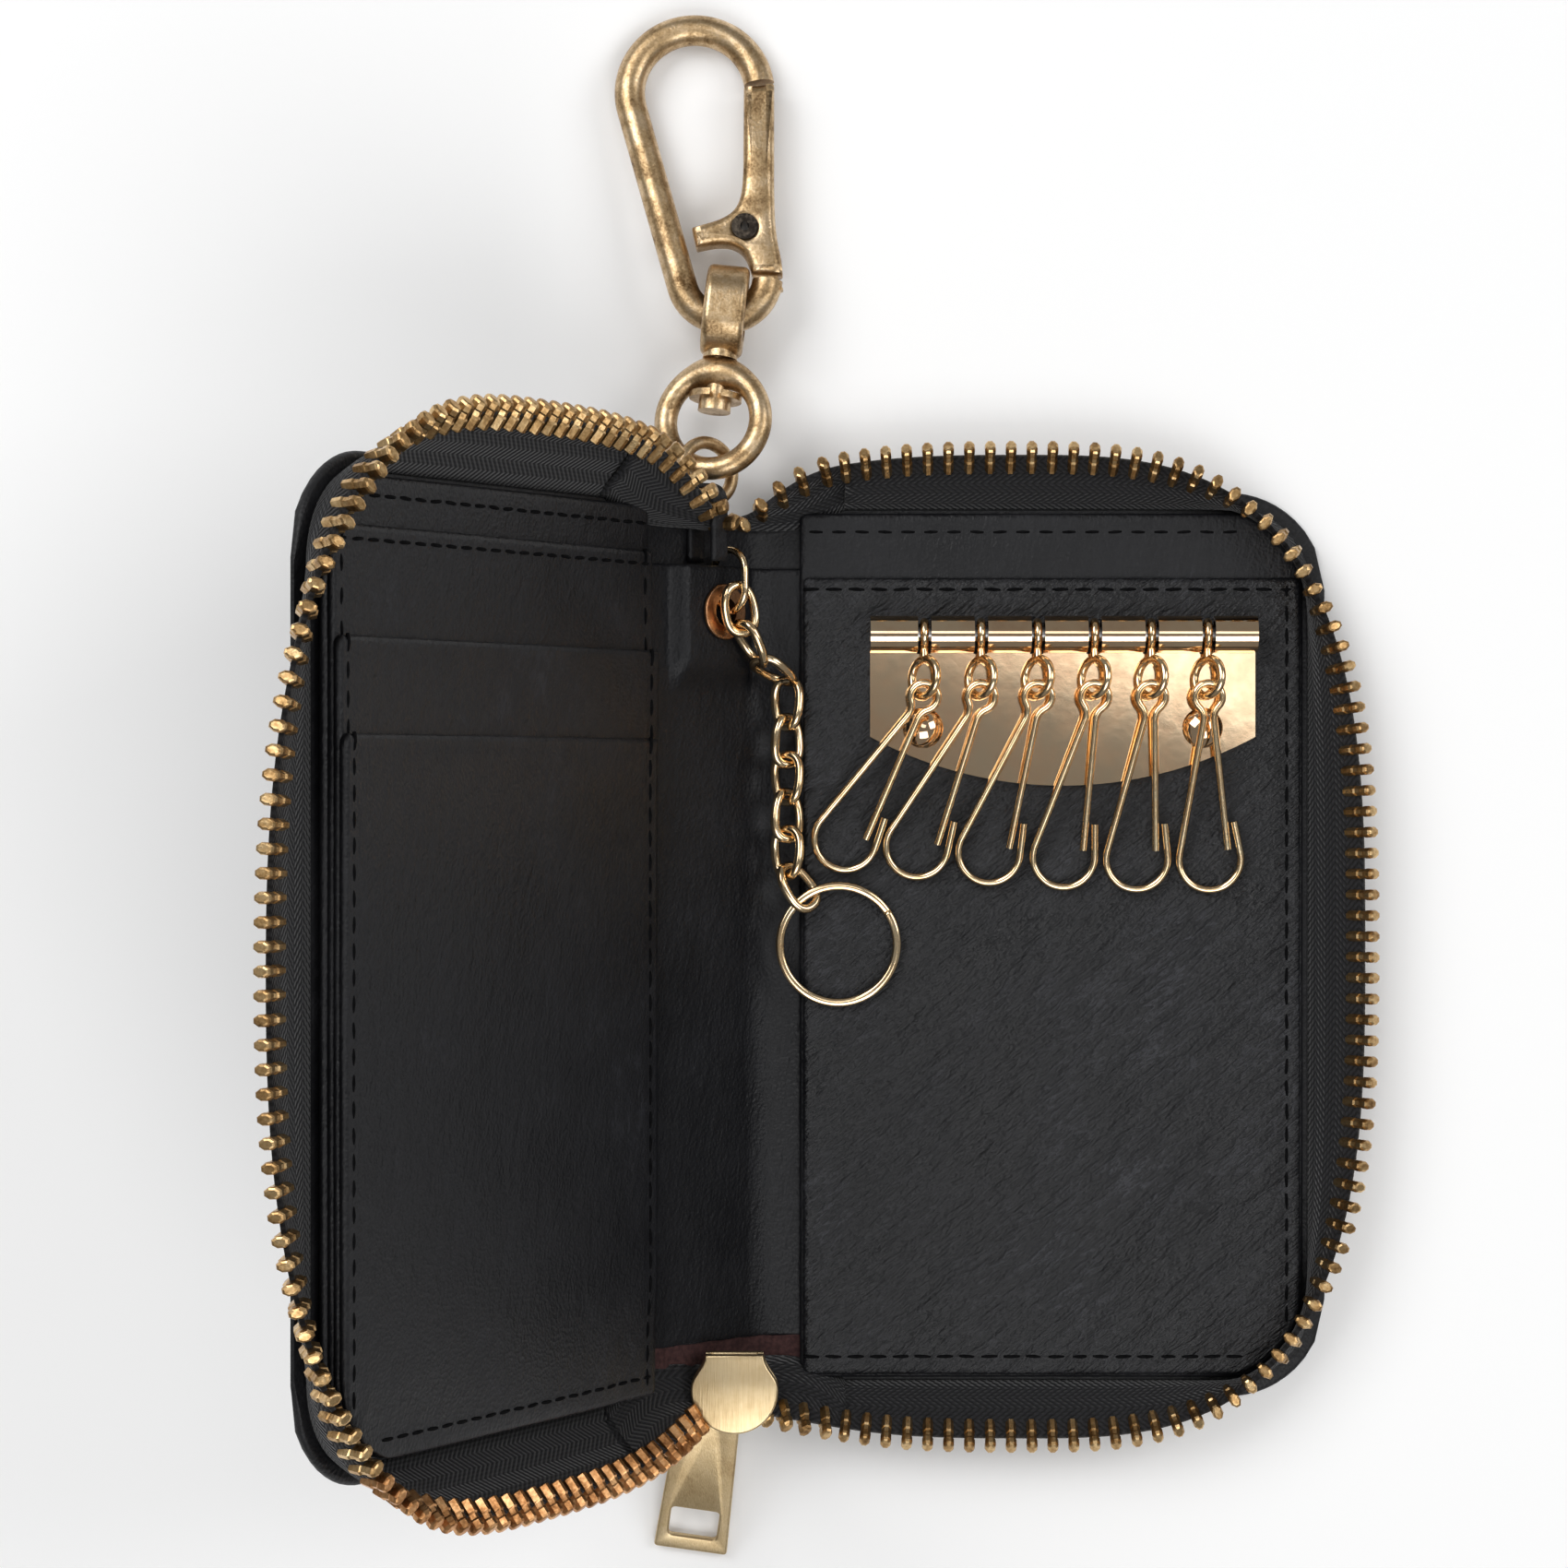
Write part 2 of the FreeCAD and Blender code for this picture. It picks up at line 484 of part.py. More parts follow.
slider_x = back_fold.x - size["slider_past_fold"]
slider_y = -size["spine_height"] / 2 - size["slider_past_end"]
tail_left = slider_x - size["slider_width"] / 2
tail_right = slider_x + size["slider_neck"] / 4
tail_top = spine_face_level(tail_left)
tail_start = -size["spine_height"] / 2
tail_corners = [V(tail_left, tail_start, tail_top), V(tail_right, tail_start, tail_top),
                V(tail_right, tail_start, spine_face_level(tail_right))]
tail_face = Part.Face(Part.makePolygon(tail_corners + tail_corners[:1]))
solid("zip_tail", tail_face.extrude(V(0, size["tail_length"], 0)))

# Slider: two plates with a post between them and a bridge below for the pull tab
slider_level = tail_top + size["slider_seat"]
slider_round = size["slider_width"] / 2
round_y = slider_round - size["slider_length"] / 2
corner = V(size["slider_neck"] / 2, size["slider_length"] / 2)
to_corner = corner - V(0, round_y)
tangent_angle = math.atan2(to_corner.y, to_corner.x) - math.acos(slider_round / to_corner.Length)
touch = V(slider_round * math.cos(tangent_angle), round_y + slider_round * math.sin(tangent_angle))
slider_edges = [Part.makeLine(V(-corner.x, corner.y), corner), Part.makeLine(corner, touch),
                Part.Arc(touch, V(0, round_y - slider_round), V(-touch.x, touch.y)).toShape(),
                Part.makeLine(V(-touch.x, touch.y), V(-corner.x, corner.y))]
slider_plate = Part.Face(Part.Wire(slider_edges)).extrude(V(0, 0, size["slider_plate"]))
upper_level = size["slider_plate"] + size["slider_throat"]
upper_plate = slider_plate.copy()
upper_plate.translate(V(0, 0, upper_level))
slider_post = disc(size["slider_post"] / 2, size["slider_plate"], upper_level)
bridge = size["bridge_wire"]
arch_length = size["bridge_span"] + bridge
arch = Part.makeBox(bridge, arch_length, size["bridge_drop"] + bridge,
                    V(size["bridge_shift"] - bridge / 2, -arch_length / 2 - size["bridge_offset"],
                      -size["bridge_drop"] - bridge))
arch_hole = Part.makeBox(2 * bridge, size["bridge_span"] - bridge, size["bridge_drop"],
                         V(size["bridge_shift"] - bridge, (bridge - size["bridge_span"]) / 2 - size["bridge_offset"],
                           -size["bridge_drop"]))
slider = slider_plate.multiFuse([upper_plate, slider_post, arch.cut(arch_hole)])
slider_place = Placement(V(slider_x, slider_y, slider_level), Rotation())
solid("zip_slider", slider, slider_place)

# Pull tab, hung by its cross bar in the slider's bridge, with its tip resting near the floor
pull_hinge = slider_place.multVec(V(size["bridge_shift"], -size["bridge_offset"], -size["bridge_drop"] / 2))
pull_drop = pull_hinge.z - size["pull_thickness"] / 2 - size["floor_gap"]
pull_slope = math.degrees(math.asin(pull_drop / size["pull_length"]))
pull_bar = size["pull_eye_rim"] / 2
half_top = size["pull_top_width"] / 2
half_end = size["pull_width"] / 2
pull_low = -size["pull_thickness"] / 2
pull_corners = [V(-half_top, pull_bar, pull_low), V(half_top, pull_bar, pull_low),
                V(half_end, -size["pull_length"], pull_low), V(-half_end, -size["pull_length"], pull_low)]
pull_face = Part.Face(Part.makePolygon(pull_corners + pull_corners[:1]))
pull_tab = pull_face.extrude(V(0, 0, size["pull_thickness"]))


def pull_opening(width, length, low):
    """Make a cutter for a square-cornered opening in the pull tab."""
    over = size["overrun"]
    return Part.makeBox(width, length, size["pull_thickness"] + 2 * over, V(-width / 2, low, pull_low - over))


pull_tab = pull_tab.cut(pull_opening(size["pull_slot_width"], size["bridge_span"],
                                     -pull_bar - size["bridge_span"]))
pull_tab = pull_tab.cut(pull_opening(size["pull_window_width"], size["pull_window_length"],
                                     -size["pull_length"] + size["pull_rim"]))
pull_turn = Rotation(V(0, 0, 1), -size["pull_lean"]).multiply(Rotation(V(1, 0, 0), pull_slope))
solid("zip_pull_tab", pull_tab, Placement(pull_hinge, pull_turn))

# Snap hook assembly: it leaves the strap loop and slopes down until the hook's top meets the floor
FORWARD = V(0, 1, 0)
UP = V(0, 0, 1)
SIDE = V(1, 0, 0)


def turned(angle, axis=UP):
    """Give a placement that only turns about an axis."""
    return Placement(V(), Rotation(axis, angle))


def moved(x, y, z=0):
    """Give a placement that only moves."""
    return Placement(V(x, y, z), Rotation())


def on_circle(centre, radius, degrees):
    """Give a point on a circle in the XY plane."""
    angle = math.radians(degrees)
    return centre + V(radius * math.cos(angle), radius * math.sin(angle))


def arc(centre, radius, first, last):
    """Make an arc edge between two angles in degrees."""
    middle = on_circle(centre, radius, (first + last) / 2)
    return Part.Arc(on_circle(centre, radius, first), middle, on_circle(centre, radius, last)).toShape()


def belt_angle(first, first_radius, second, second_radius):
    """Give the angle where a line leaves one circle for the next, both passed anticlockwise."""
    gap = second - first
    step = second_radius - first_radius
    way = math.atan2(gap.y, gap.x) - math.atan2(step, math.sqrt(gap.Length ** 2 - step ** 2))
    return math.degrees(way) - 90


def bent_bar(edges, radius):
    """Join a round bar from a straight rod for each line and a turned one for each arc."""
    pieces = []
    for edge in edges:
        start = edge.valueAt(edge.FirstParameter)
        way = edge.tangentAt(edge.FirstParameter)
        section = Part.Face(Part.Wire(Part.makeCircle(radius, start, way)))
        if isinstance(edge.Curve, Part.Circle):
            turn = math.degrees(edge.Length / edge.Curve.Radius)
            pieces.append(section.revolve(edge.Curve.Center, edge.Curve.Axis, turn))
        else:
            pieces.append(section.extrude(way * edge.Length))
    return pieces[0].multiFuse(pieces[1:]).removeSplitter().Solids[0]


def rod_between(first, second, radius):
    """Make a round rod from one point to another."""
    return Part.makeCylinder(radius, (second - first).Length, first, second - first)


ring_sag = size["jump_radius"] - math.sqrt(size["jump_radius"] ** 2 - (size["strap_width"] / 2) ** 2)
wire_y = (strap_axis_y + size["strap_hole"] / 2 - size["jump_wire"] / 2 - ring_sag - size["ring_gap"])
strap_wire = spine_place.multVec(V(-size["strap_offset"], wire_y, strap_level))
swivel_lean = math.radians(size["swivel_turn"])
hook_reach = (size["jump_radius"] + size["eye_distance"] * math.cos(swivel_lean) + size["hook_top_y"]
              + size["hook_top_radius"] + size["hook_bar"] / 2)
hook_drop = strap_wire.z - size["hook_bar"] / 2 - size["floor_gap"]
hook_lie = Rotation(SIDE, -math.degrees(math.asin(hook_drop / hook_reach)))
ring_place = Placement(strap_wire, hook_lie).multiply(moved(0, size["jump_radius"]))
swivel_place = ring_place.multiply(turned(-size["swivel_turn"]))

jump_ring = doc.addObject("Part::Torus", "jump_ring")
bind(jump_ring, Radius1="jump_radius", Radius2="jump_wire / 2")
jump_ring.Placement = ring_place.multiply(turned(size["jump_roll"], FORWARD))
keep(jump_ring, "jump_ring")

# Swivel ring with a bored boss at its top
boss_y = size["swivel_offset"] + size["swivel_radius"] - size["boss_drop"]
boss_start = boss_y - size["boss_length"] / 2
boss_end = boss_y + size["boss_length"] / 2
boss = Part.makeBox(size["boss_width"], size["boss_length"], size["boss_height"],
                    V(-size["boss_width"] / 2, boss_start, -size["boss_height"] / 2))
boss = boss.makeFillet(size["boss_round"], [edge for edge in boss.Edges if edge.tangentAt(0).y == 0])
swivel_ring = Part.makeTorus(size["swivel_radius"], size["swivel_wire"] / 2, V(0, size["swivel_offset"], 0))
stem = size["stem_diameter"] / 2
boss_bore = Part.makeCylinder(stem + size["stem_gap"], size["boss_length"] + 2 * size["overrun"],
                              V(0, boss_start - size["overrun"], 0), FORWARD)
solid("swivel_ring", swivel_ring.fuse(boss).cut(boss_bore),
      swivel_place.multiply(turned(-size["swivel_roll"], FORWARD)))

# Swivel post: peened end, stem, collar and an eye round the hook's lower bar
clip_end = boss_start - size["clip_seat"]
clip_start = clip_end - size["clip_thickness"]


def along_stem(radius, start, end):
    """Make a cylinder about the post's axis."""
    return Part.makeCylinder(radius, end - start, V(0, start, 0), FORWARD)


def eye_block(radius, width):
    """Make a bar across the post with the rounded outline of its eye."""
    low = size["eye_distance"]
    high = low + size["eye_stretch"]
    pair = [Part.makeCylinder(radius, width, V(-width / 2, y, 0), SIDE) for y in (low, high)]
    middle = Part.makeBox(width, high - low, 2 * radius, V(-width / 2, low, -radius))
    return pair[0].multiFuse([pair[1], middle]).removeSplitter()


eye = eye_block(size["eye_radius"], size["eye_width"])
rims = [edge for edge in eye.Edges if edge.Curve.TypeId == "Part::GeomCircle"]
eye = eye.makeFillet(size["eye_round"], rims)
post = along_stem(size["stem_end_diameter"] / 2, clip_start - size["stem_end"], clip_start)
collar = along_stem(size["neck_diameter"] / 2, boss_end + size["clip_seat"], size["eye_distance"])
post = post.multiFuse([along_stem(stem, clip_start, size["eye_distance"]), collar, eye])
post = post.cut(eye_block(size["eye_hole"], size["eye_width"] + 2 * size["overrun"]))
solid("swivel_post", post.removeSplitter(), swivel_place)
clip = along_stem(size["clip_diameter"] / 2, clip_start, clip_end).cut(along_stem(stem, clip_start, clip_end))
clip_mouth = Part.makeBox(stem, size["clip_thickness"], size["clip_diameter"], V(-stem / 2, clip_start, 0))
solid("swivel_clip", clip.cut(clip_mouth), swivel_place)

# Hook body: one round bar from its nose over the top, down the side and round the lower eye
hook_place = Placement(swivel_place.multVec(V(0, size["eye_distance"], 0)), ring_place.Rotation)
bar = size["hook_bar"] / 2
top_centre = V(size["hook_top_x"], size["hook_top_y"])
low_centre = V(0, size["hook_bottom_radius"])
side_angle = belt_angle(top_centre, size["hook_top_radius"], low_centre, size["hook_bottom_radius"]) % 360
heel_angle = 360 + size["hook_heel_angle"]
hook = bent_bar([arc(top_centre, size["hook_top_radius"], size["hook_nose_angle"], side_angle),
                 Part.makeLine(on_circle(top_centre, size["hook_top_radius"], side_angle),
                               on_circle(low_centre, size["hook_bottom_radius"], side_angle)),
                 arc(low_centre, size["hook_bottom_radius"], side_angle, heel_angle)], bar)
pivot = V(size["gate_pivot_x"], size["gate_pivot_y"])
heel = on_circle(low_centre, size["hook_bottom_radius"], heel_angle)


def flat_disc(radius, thickness):
    """Make a disc about the gate's pivot, centred on the hook's plane."""
    return Part.makeCylinder(radius, thickness, pivot - UP * (thickness / 2))


tongue_run = pivot - heel
tongue = Part.makeBox(tongue_run.Length + bar, size["tongue_width"], size["tongue_thickness"],
                      V(-bar, -size["tongue_width"] / 2, -size["tongue_thickness"] / 2))
tongue.Placement = Placement(heel, Rotation(SIDE, tongue_run))
tongue = tongue.fuse(flat_disc(size["tongue_end"], size["tongue_thickness"]))
rivet = size["rivet_diameter"] / 2
hook = hook.fuse(tongue).cut(flat_disc(rivet, size["hook_bar"]))
solid("hook_body", hook, hook_place)

# Gate: arm up to the nose, lower leg down to the heel, thumb spur, forked round the tongue
gap_angle = math.degrees(size["gate_gap"] / size["hook_bottom_radius"])
leg = bent_bar([arc(low_centre, size["hook_bottom_radius"], size["hook_heel_angle"] + gap_angle,
                    size["gate_leg_angle"])], bar)
nose = on_circle(top_centre, size["hook_top_radius"], size["hook_nose_angle"])
arm = rod_between(pivot + V(size["gate_shoulder"], 0), nose - FORWARD * size["gate_gap"], bar)
spur = rod_between(pivot, V(size["gate_spur_x"], size["gate_spur_y"]), size["gate_spur_bar"] / 2)
gate = leg.multiFuse([flat_disc(size["gate_boss"], size["hook_bar"]), arm, spur])
slot_left = pivot.x - size["gate_slot_depth"]
fork = Part.makeBox(2 * size["hook_bottom_radius"], pivot.y + size["gate_slot_end"] + bar, size["gate_slot"],
                    V(slot_left, -bar, -size["gate_slot"] / 2))
gate = gate.cut(fork).cut(flat_disc(rivet + size["rivet_gap"], size["hook_bar"]))
solid("hook_gate", gate, hook_place)
head_gap = size["hook_bar"] + 2 * size["rivet_gap"]
head = flat_disc(size["rivet_head"] / 2, head_gap + 2 * size["rivet_head_height"])
head = head.cut(flat_disc(size["rivet_head"], head_gap))
hollow = flat_disc(size["rivet_bore"] / 2, 2 * size["hook_bar"])
gate_rivet = flat_disc(rivet, head_gap).fuse(head).cut(hollow)
solid("gate_rivet", gate_rivet, hook_place)
spring = Part.makeBox(size["spring_leaf"], 2 * rivet, size["tongue_thickness"],
                      pivot + V(-size["tongue_end"] - size["spring_seat"] - size["spring_leaf"], -rivet,
                                -size["tongue_thickness"] / 2))
solid("gate_spring", spring, hook_place)

# Key row: plate with a rolled barrel, slotted for six loops
plate_low = page_top
plate_high = plate_low + size["plate_thickness"]
rod_level = plate_low + size["barrel_diameter"] / 2
plate_left = size["plate_centre"] - size["plate_width"] / 2
plate_right = plate_left + size["plate_width"]
plate_bottom = size["barrel_y"] - size["plate_side"]
barrel = size["barrel_diameter"] / 2
barrel_bore = barrel - size["barrel_wall"]
slot_places = [plate_left + size["slot_first"] + number * size["slot_pitch"] for number in range(6)]
plate_corners = [V(x, y, plate_low) for x, y in (
    (plate_left, plate_bottom), (plate_left, size["barrel_y"]),
    (plate_right, size["barrel_y"]), (plate_right, plate_bottom))]
plate_edges = [Part.makeLine(plate_corners[i], plate_corners[i + 1]) for i in range(3)]
belly = V(size["plate_centre"], plate_bottom - size["plate_belly"], plate_low)
plate_edges.append(Part.Arc(plate_corners[3], belly, plate_corners[0]).toShape())
plate = Part.Face(Part.Wire(plate_edges)).extrude(V(0, 0, size["plate_thickness"]))


def along_row(radius, start, length):
    """Make a cylinder about the rod's axis."""
    return Part.makeCylinder(radius, length, V(start, size["barrel_y"], rod_level), SIDE)


plate = plate.fuse(along_row(barrel, plate_left, size["plate_width"]))
plate = plate.cut(along_row(barrel_bore, plate_left, size["plate_width"]))
collar_radius = size["rod_diameter"] / 2 + size["loop_gap"] + size["loop_wire"] / 2
slot_start = size["barrel_y"] - barrel - size["loop_gap"]
for place in slot_places:
    plate = plate.cut(Part.makeBox(size["slot_width"], size["barrel_diameter"] + size["overrun"],
                                   size["barrel_diameter"] + size["overrun"],
                                   V(place - size["slot_width"] / 2, slot_start,
                                     plate_low - size["overrun"] / 2)))
plate_rivet_y = size["barrel_y"] - size["plate_rivet_drop"]
shank = size["plate_rivet_shank"] / 2
plate_rivet_places = [V(plate_left + size["plate_rivet_inset"], plate_rivet_y, 0),
                      V(plate_right - size["plate_rivet_inset"], plate_rivet_y, 0)]
for place in plate_rivet_places:
    plate = plate.cut(Part.makeCylinder(shank, page_top + plate_high, place))
solid("key_plate", plate.removeSplitter())

rod = along_row(size["rod_diameter"] / 2, plate_left, size["plate_width"])
rod_end = size["rod_end"]
rod = rod.multiFuse([along_row(barrel_bore, plate_left, rod_end),
                     along_row(barrel_bore, plate_right - rod_end, rod_end)])
solid("key_rod", rod)

# Two domed rivets through the plate and the pocket leather
dome = size["plate_rivet_dome"] / 2
dome_height = size["plate_rivet_height"]
dome_ball = (dome ** 2 + dome_height ** 2) / (2 * dome_height)
rivets = []
for place in plate_rivet_places:
    ball = Part.makeSphere(dome_ball, place + UP * (plate_high + dome_height - dome_ball))
    cap = ball.common(Part.makeCylinder(dome, dome_height, place + UP * plate_high))
    foot = page_top - size["pocket_thickness"]
    rivets.append(cap.fuse(Part.makeCylinder(shank, plate_high - foot, place + UP * foot)))
solid("key_rivets", Part.makeCompound(rivets))

# Six loops on the rod, each with a rolled eye, and a spring-wire key hook in each eye
KEY_SWINGS = (28.8, 22.9, 17, 10.5, 4.6, -1.2)
loop_wire = size["loop_wire"] / 2
loop_collar = Part.makeTorus(collar_radius, loop_wire, V(), SIDE)
loop_eye_centre = V(0, -size["loop_length"], 0)
loop_eye = Part.makeTorus(size["loop_eye"], loop_wire, V(), UP)
loop_eye.Placement = Placement(loop_eye_centre, Rotation(FORWARD, -size["loop_roll"]))
loop_neck = rod_between(V(0, -collar_radius, 0), loop_eye_centre + V(0, size["loop_eye"], 0), loop_wire)
key_loop = loop_collar.multiFuse([loop_neck, loop_eye])

key_wire = size["key_wire"] / 2
head_centre = V()
bend_centre = V(0, -size["key_length"], 0)
key_neck = size["key_neck"]
eye_start = -size["key_eye_angle"]
eye_end = 180 + size["key_eye_angle"]
right_neck = on_circle(head_centre, size["key_head"] + key_neck, eye_start)
left_neck = on_circle(head_centre, size["key_head"] + key_neck, eye_end)
latch_tip = V(size["key_latch_side"], -size["key_latch"], 0)

# The latch leg touches the right neck bend, and the long leg touches the left one and the lower bend
latch_line = right_neck - latch_tip
latch_angle = math.degrees(math.atan2(latch_line.y, latch_line.x) + math.asin(key_neck / latch_line.Length)) + 90
leg_line = bend_centre - left_neck
leg_cross = math.asin((key_neck + size["key_bend"]) / leg_line.Length)
leg_angle = math.degrees(math.atan2(leg_line.y, leg_line.x) - leg_cross) + 90
bend_start = leg_angle + 180
bend_end = on_circle(bend_centre, size["key_bend"], 540 - bend_start)
tip_way = on_circle(V(), 1, 630 - bend_start)
key_edges = [
    Part.makeLine(latch_tip, on_circle(right_neck, key_neck, latch_angle)),
    arc(right_neck, key_neck, latch_angle, 180 + eye_start),
    arc(head_centre, size["key_head"], eye_start, eye_end),
    arc(left_neck, key_neck, eye_end - 180, leg_angle),
    Part.makeLine(on_circle(left_neck, key_neck, leg_angle), on_circle(bend_centre, size["key_bend"], bend_start)),
    arc(bend_centre, size["key_bend"], bend_start, 540 - bend_start),
    Part.makeLine(bend_end, bend_end + tip_way * size["key_tip"]),
]
key_hook = bent_bar(key_edges, key_wire)
key_run = size["key_seat"] + size["key_length"] + size["key_bend"]
for number, (place, swing) in enumerate(zip(slot_places, KEY_SWINGS), start=1):
    loop_place = moved(place, size["barrel_y"], rod_level).multiply(turned(-size["loop_rise"], SIDE))
    solid("key_loop_%d" % number, key_loop.copy(), loop_place)
    eye_point = loop_place.multVec(loop_eye_centre - FORWARD * size["loop_eye"])
    key_drop = eye_point.z - page_top - key_wire - size["key_rest_gap"]
    key_turn = turned(-swing).multiply(turned(math.degrees(math.asin(key_drop / key_run)), SIDE))
    key_place = Placement(eye_point, key_turn.Rotation).multiply(moved(0, -size["key_seat"]))
    solid("key_hook_%d" % number, key_hook.copy(), key_place)


# Chain: an anchor link through the eyelet, then links with alternate rolls, then the split ring
def oval(length, width, wire):
    """Make a closed oval link, long along Y, in the XY plane."""
    radius = (width - wire) / 2
    half = (length - width) / 2
    section = Part.Face(Part.Wire(Part.makeCircle(wire / 2, V(radius, half, 0), FORWARD)))
    bow = section.revolve(V(0, half, 0), UP, 180)
    leg = section.extrude(V(0, -2 * half, 0))
    turn = turned(180)
    pieces = [bow, leg]
    for piece in (bow, leg):
        other = piece.copy()
        other.Placement = turn
        pieces.append(other)
    return pieces[0].multiFuse(pieces[1:]).removeSplitter()


link_wire = size["link_wire"]
anchor_low = size["cover_leather"] / 2 + size["ring_gap"] + link_wire / 2
anchor_middle = V(-size["eyelet_offset"], eyelet_y + (size["anchor_length"] - link_wire) / 2,
                  anchor_low + (size["anchor_width"] - link_wire) / 2)
anchor_place = spine_place.multiply(Placement(anchor_middle, Rotation(FORWARD, 90)))
solid("anchor_link", oval(size["anchor_length"], size["anchor_width"], link_wire), anchor_place)

link = oval(size["link_length"], size["link_width"], link_wire)
link_reach = (size["link_length"] - link_wire) / 2
bend_one = math.radians(size["link_bend_one"])
bend_two = math.radians(size["link_bend_two"])
link_level = mouth_top + size["eyelet_lip"] + size["link_width"] / 2
first_end = V(-size["eyelet_offset"] - size["first_link_shift"], eyelet_y + size["first_link_rise"],
              link_level)
way_one = V(math.sin(bend_one), -math.cos(bend_one), 0)
way_two = V(math.sin(bend_two), -math.cos(bend_two), 0)
middle_one = first_end + way_one * link_reach
middle_two = middle_one + (way_one + way_two) * (size["link_pitch"] / 2)


def link_place(middle, way, roll):
    """Lay a link with its length along a way and a roll about that length."""
    return Placement(middle, Rotation(FORWARD, way * -1).multiply(Rotation(FORWARD, roll)))


roll = size["link_roll"]
place_one = link_place(middle_one, way_one, -size["link_roll_one"])
place_two = link_place(middle_two, way_two, size["link_roll_two"])
solid("chain_link_1", link.copy(), spine_place.multiply(place_one))
solid("chain_link_2", link.copy(), spine_place.multiply(place_two))

# The rest of the chain lies beside the back page: a straight run, a climb and a last link to the ring
chain_level = page_top + size["chain_rise"]
pitch = size["link_pitch"] / 2
kink = math.radians(size["kink_angle"])
ways = [V(0, -1, 0), V(0, -1, 0), V(0, -1, 0), V(0, -math.cos(kink), math.sin(kink)), V(0, -1, 0),
        on_circle(V(), 1, -size["ring_turn"])]
middle = V(back_fold.x + size["chain_from_fold"], panel_top_y - size["mouth_length"] - size["ring_gap"] - size["link_length"] / 2,
           chain_level)
chain_middles = []
for number, way in enumerate(ways, start=3):
    if chain_middles:
        middle = middle + (ways[number - 4] + way) * pitch
    chain_middles.append(middle)
    solid("chain_link_%d" % number, link.copy(), link_place(middle, way, roll if number % 2 == 0 else -roll))

# Split ring, held up a little in the last link's far end, with its far side resting on the page
ring_hold = link_reach - link_wire / 2 - size["ring_wire"] / 2 - size["ring_slack"]
ring_held = chain_middles[-1] + ways[-1] * ring_hold
ring_rest = page_top + size["ring_wire"] / 2 + size["ring_rest_gap"]
ring_tilt = math.degrees(math.asin((ring_held.z - ring_rest) / (2 * size["ring_radius"])))
ring_place_flat = on_circle(ring_held, size["ring_radius"], -size["ring_turn"])
ring_way = (ring_held - ring_place_flat).normalize()
ring_centre = V(ring_place_flat.x, ring_place_flat.y, (ring_held.z + ring_rest) / 2)
split_ring = doc.addObject("Part::Torus", "split_ring")
bind(split_ring, Radius1="ring_radius", Radius2="ring_wire / 2")
split_ring.Placement = Placement(ring_centre, Rotation(ring_way.cross(UP), ring_tilt))
keep(split_ring, "split_ring")

# Write every sub-part
doc.recompute()
for item in doc.Objects:
    if "Invalid" in item.State or "Error" in item.State:
        raise RuntimeError("failed: " + item.Label)
os.makedirs("parts", exist_ok=True)
for item in nodes:
    if item.Shape.isNull() or not item.Shape.isValid():
        raise RuntimeError("bad shape: " + item.Label)
    item.Shape.exportStep("parts/%s.step" % item.Label)
    print("%-18s solids %d volume %.1f" % (item.Label, len(item.Shape.Solids), item.Shape.Volume))
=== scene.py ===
"""Looks of a zip-around leather key case that lies open on its back page.

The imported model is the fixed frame. Leather, zip, slider, pull tab, rings, gate and chain are made here,
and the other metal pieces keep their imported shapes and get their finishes. Shapes are worked out in
millimetres.
"""
from __future__ import annotations

import json
import logging
import math
from dataclasses import dataclass, field
from enum import Enum
from typing import Callable, Iterable, Sequence

import bmesh
import bpy
from mathutils import Matrix, Quaternion, Vector, noise

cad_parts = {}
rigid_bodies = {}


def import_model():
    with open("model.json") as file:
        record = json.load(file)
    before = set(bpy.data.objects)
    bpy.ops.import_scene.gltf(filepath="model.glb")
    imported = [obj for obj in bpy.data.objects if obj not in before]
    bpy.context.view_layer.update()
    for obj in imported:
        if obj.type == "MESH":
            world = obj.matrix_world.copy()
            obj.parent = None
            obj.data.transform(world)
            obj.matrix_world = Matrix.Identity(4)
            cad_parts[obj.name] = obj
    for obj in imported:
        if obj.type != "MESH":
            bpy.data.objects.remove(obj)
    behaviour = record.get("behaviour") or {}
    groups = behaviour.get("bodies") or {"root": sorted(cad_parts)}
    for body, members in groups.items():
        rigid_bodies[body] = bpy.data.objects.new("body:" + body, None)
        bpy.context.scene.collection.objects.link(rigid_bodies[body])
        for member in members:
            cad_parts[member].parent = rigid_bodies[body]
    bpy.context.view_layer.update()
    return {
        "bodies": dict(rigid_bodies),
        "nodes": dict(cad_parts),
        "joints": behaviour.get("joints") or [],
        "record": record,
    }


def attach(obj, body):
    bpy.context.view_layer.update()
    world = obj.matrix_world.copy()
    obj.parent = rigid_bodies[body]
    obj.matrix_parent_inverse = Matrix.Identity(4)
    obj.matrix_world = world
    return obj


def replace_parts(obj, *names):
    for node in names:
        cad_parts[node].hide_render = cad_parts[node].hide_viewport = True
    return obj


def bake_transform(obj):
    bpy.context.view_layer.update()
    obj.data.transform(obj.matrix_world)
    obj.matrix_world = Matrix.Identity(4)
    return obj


log = logging.getLogger("key_case")
MM = 0.001
UP = Vector((0, 0, 1))
RIGHT = Vector((1, 0, 0))

Piece = bpy.types.Object
Finish = bpy.types.Material
Socket = bpy.types.NodeSocket
Colour = tuple[float, float, float]
Point = tuple[float, float, float]
Place = tuple[float, float]
Edges = tuple[list[Vector], list[Vector]]
Relief = Callable[[float, float], float]


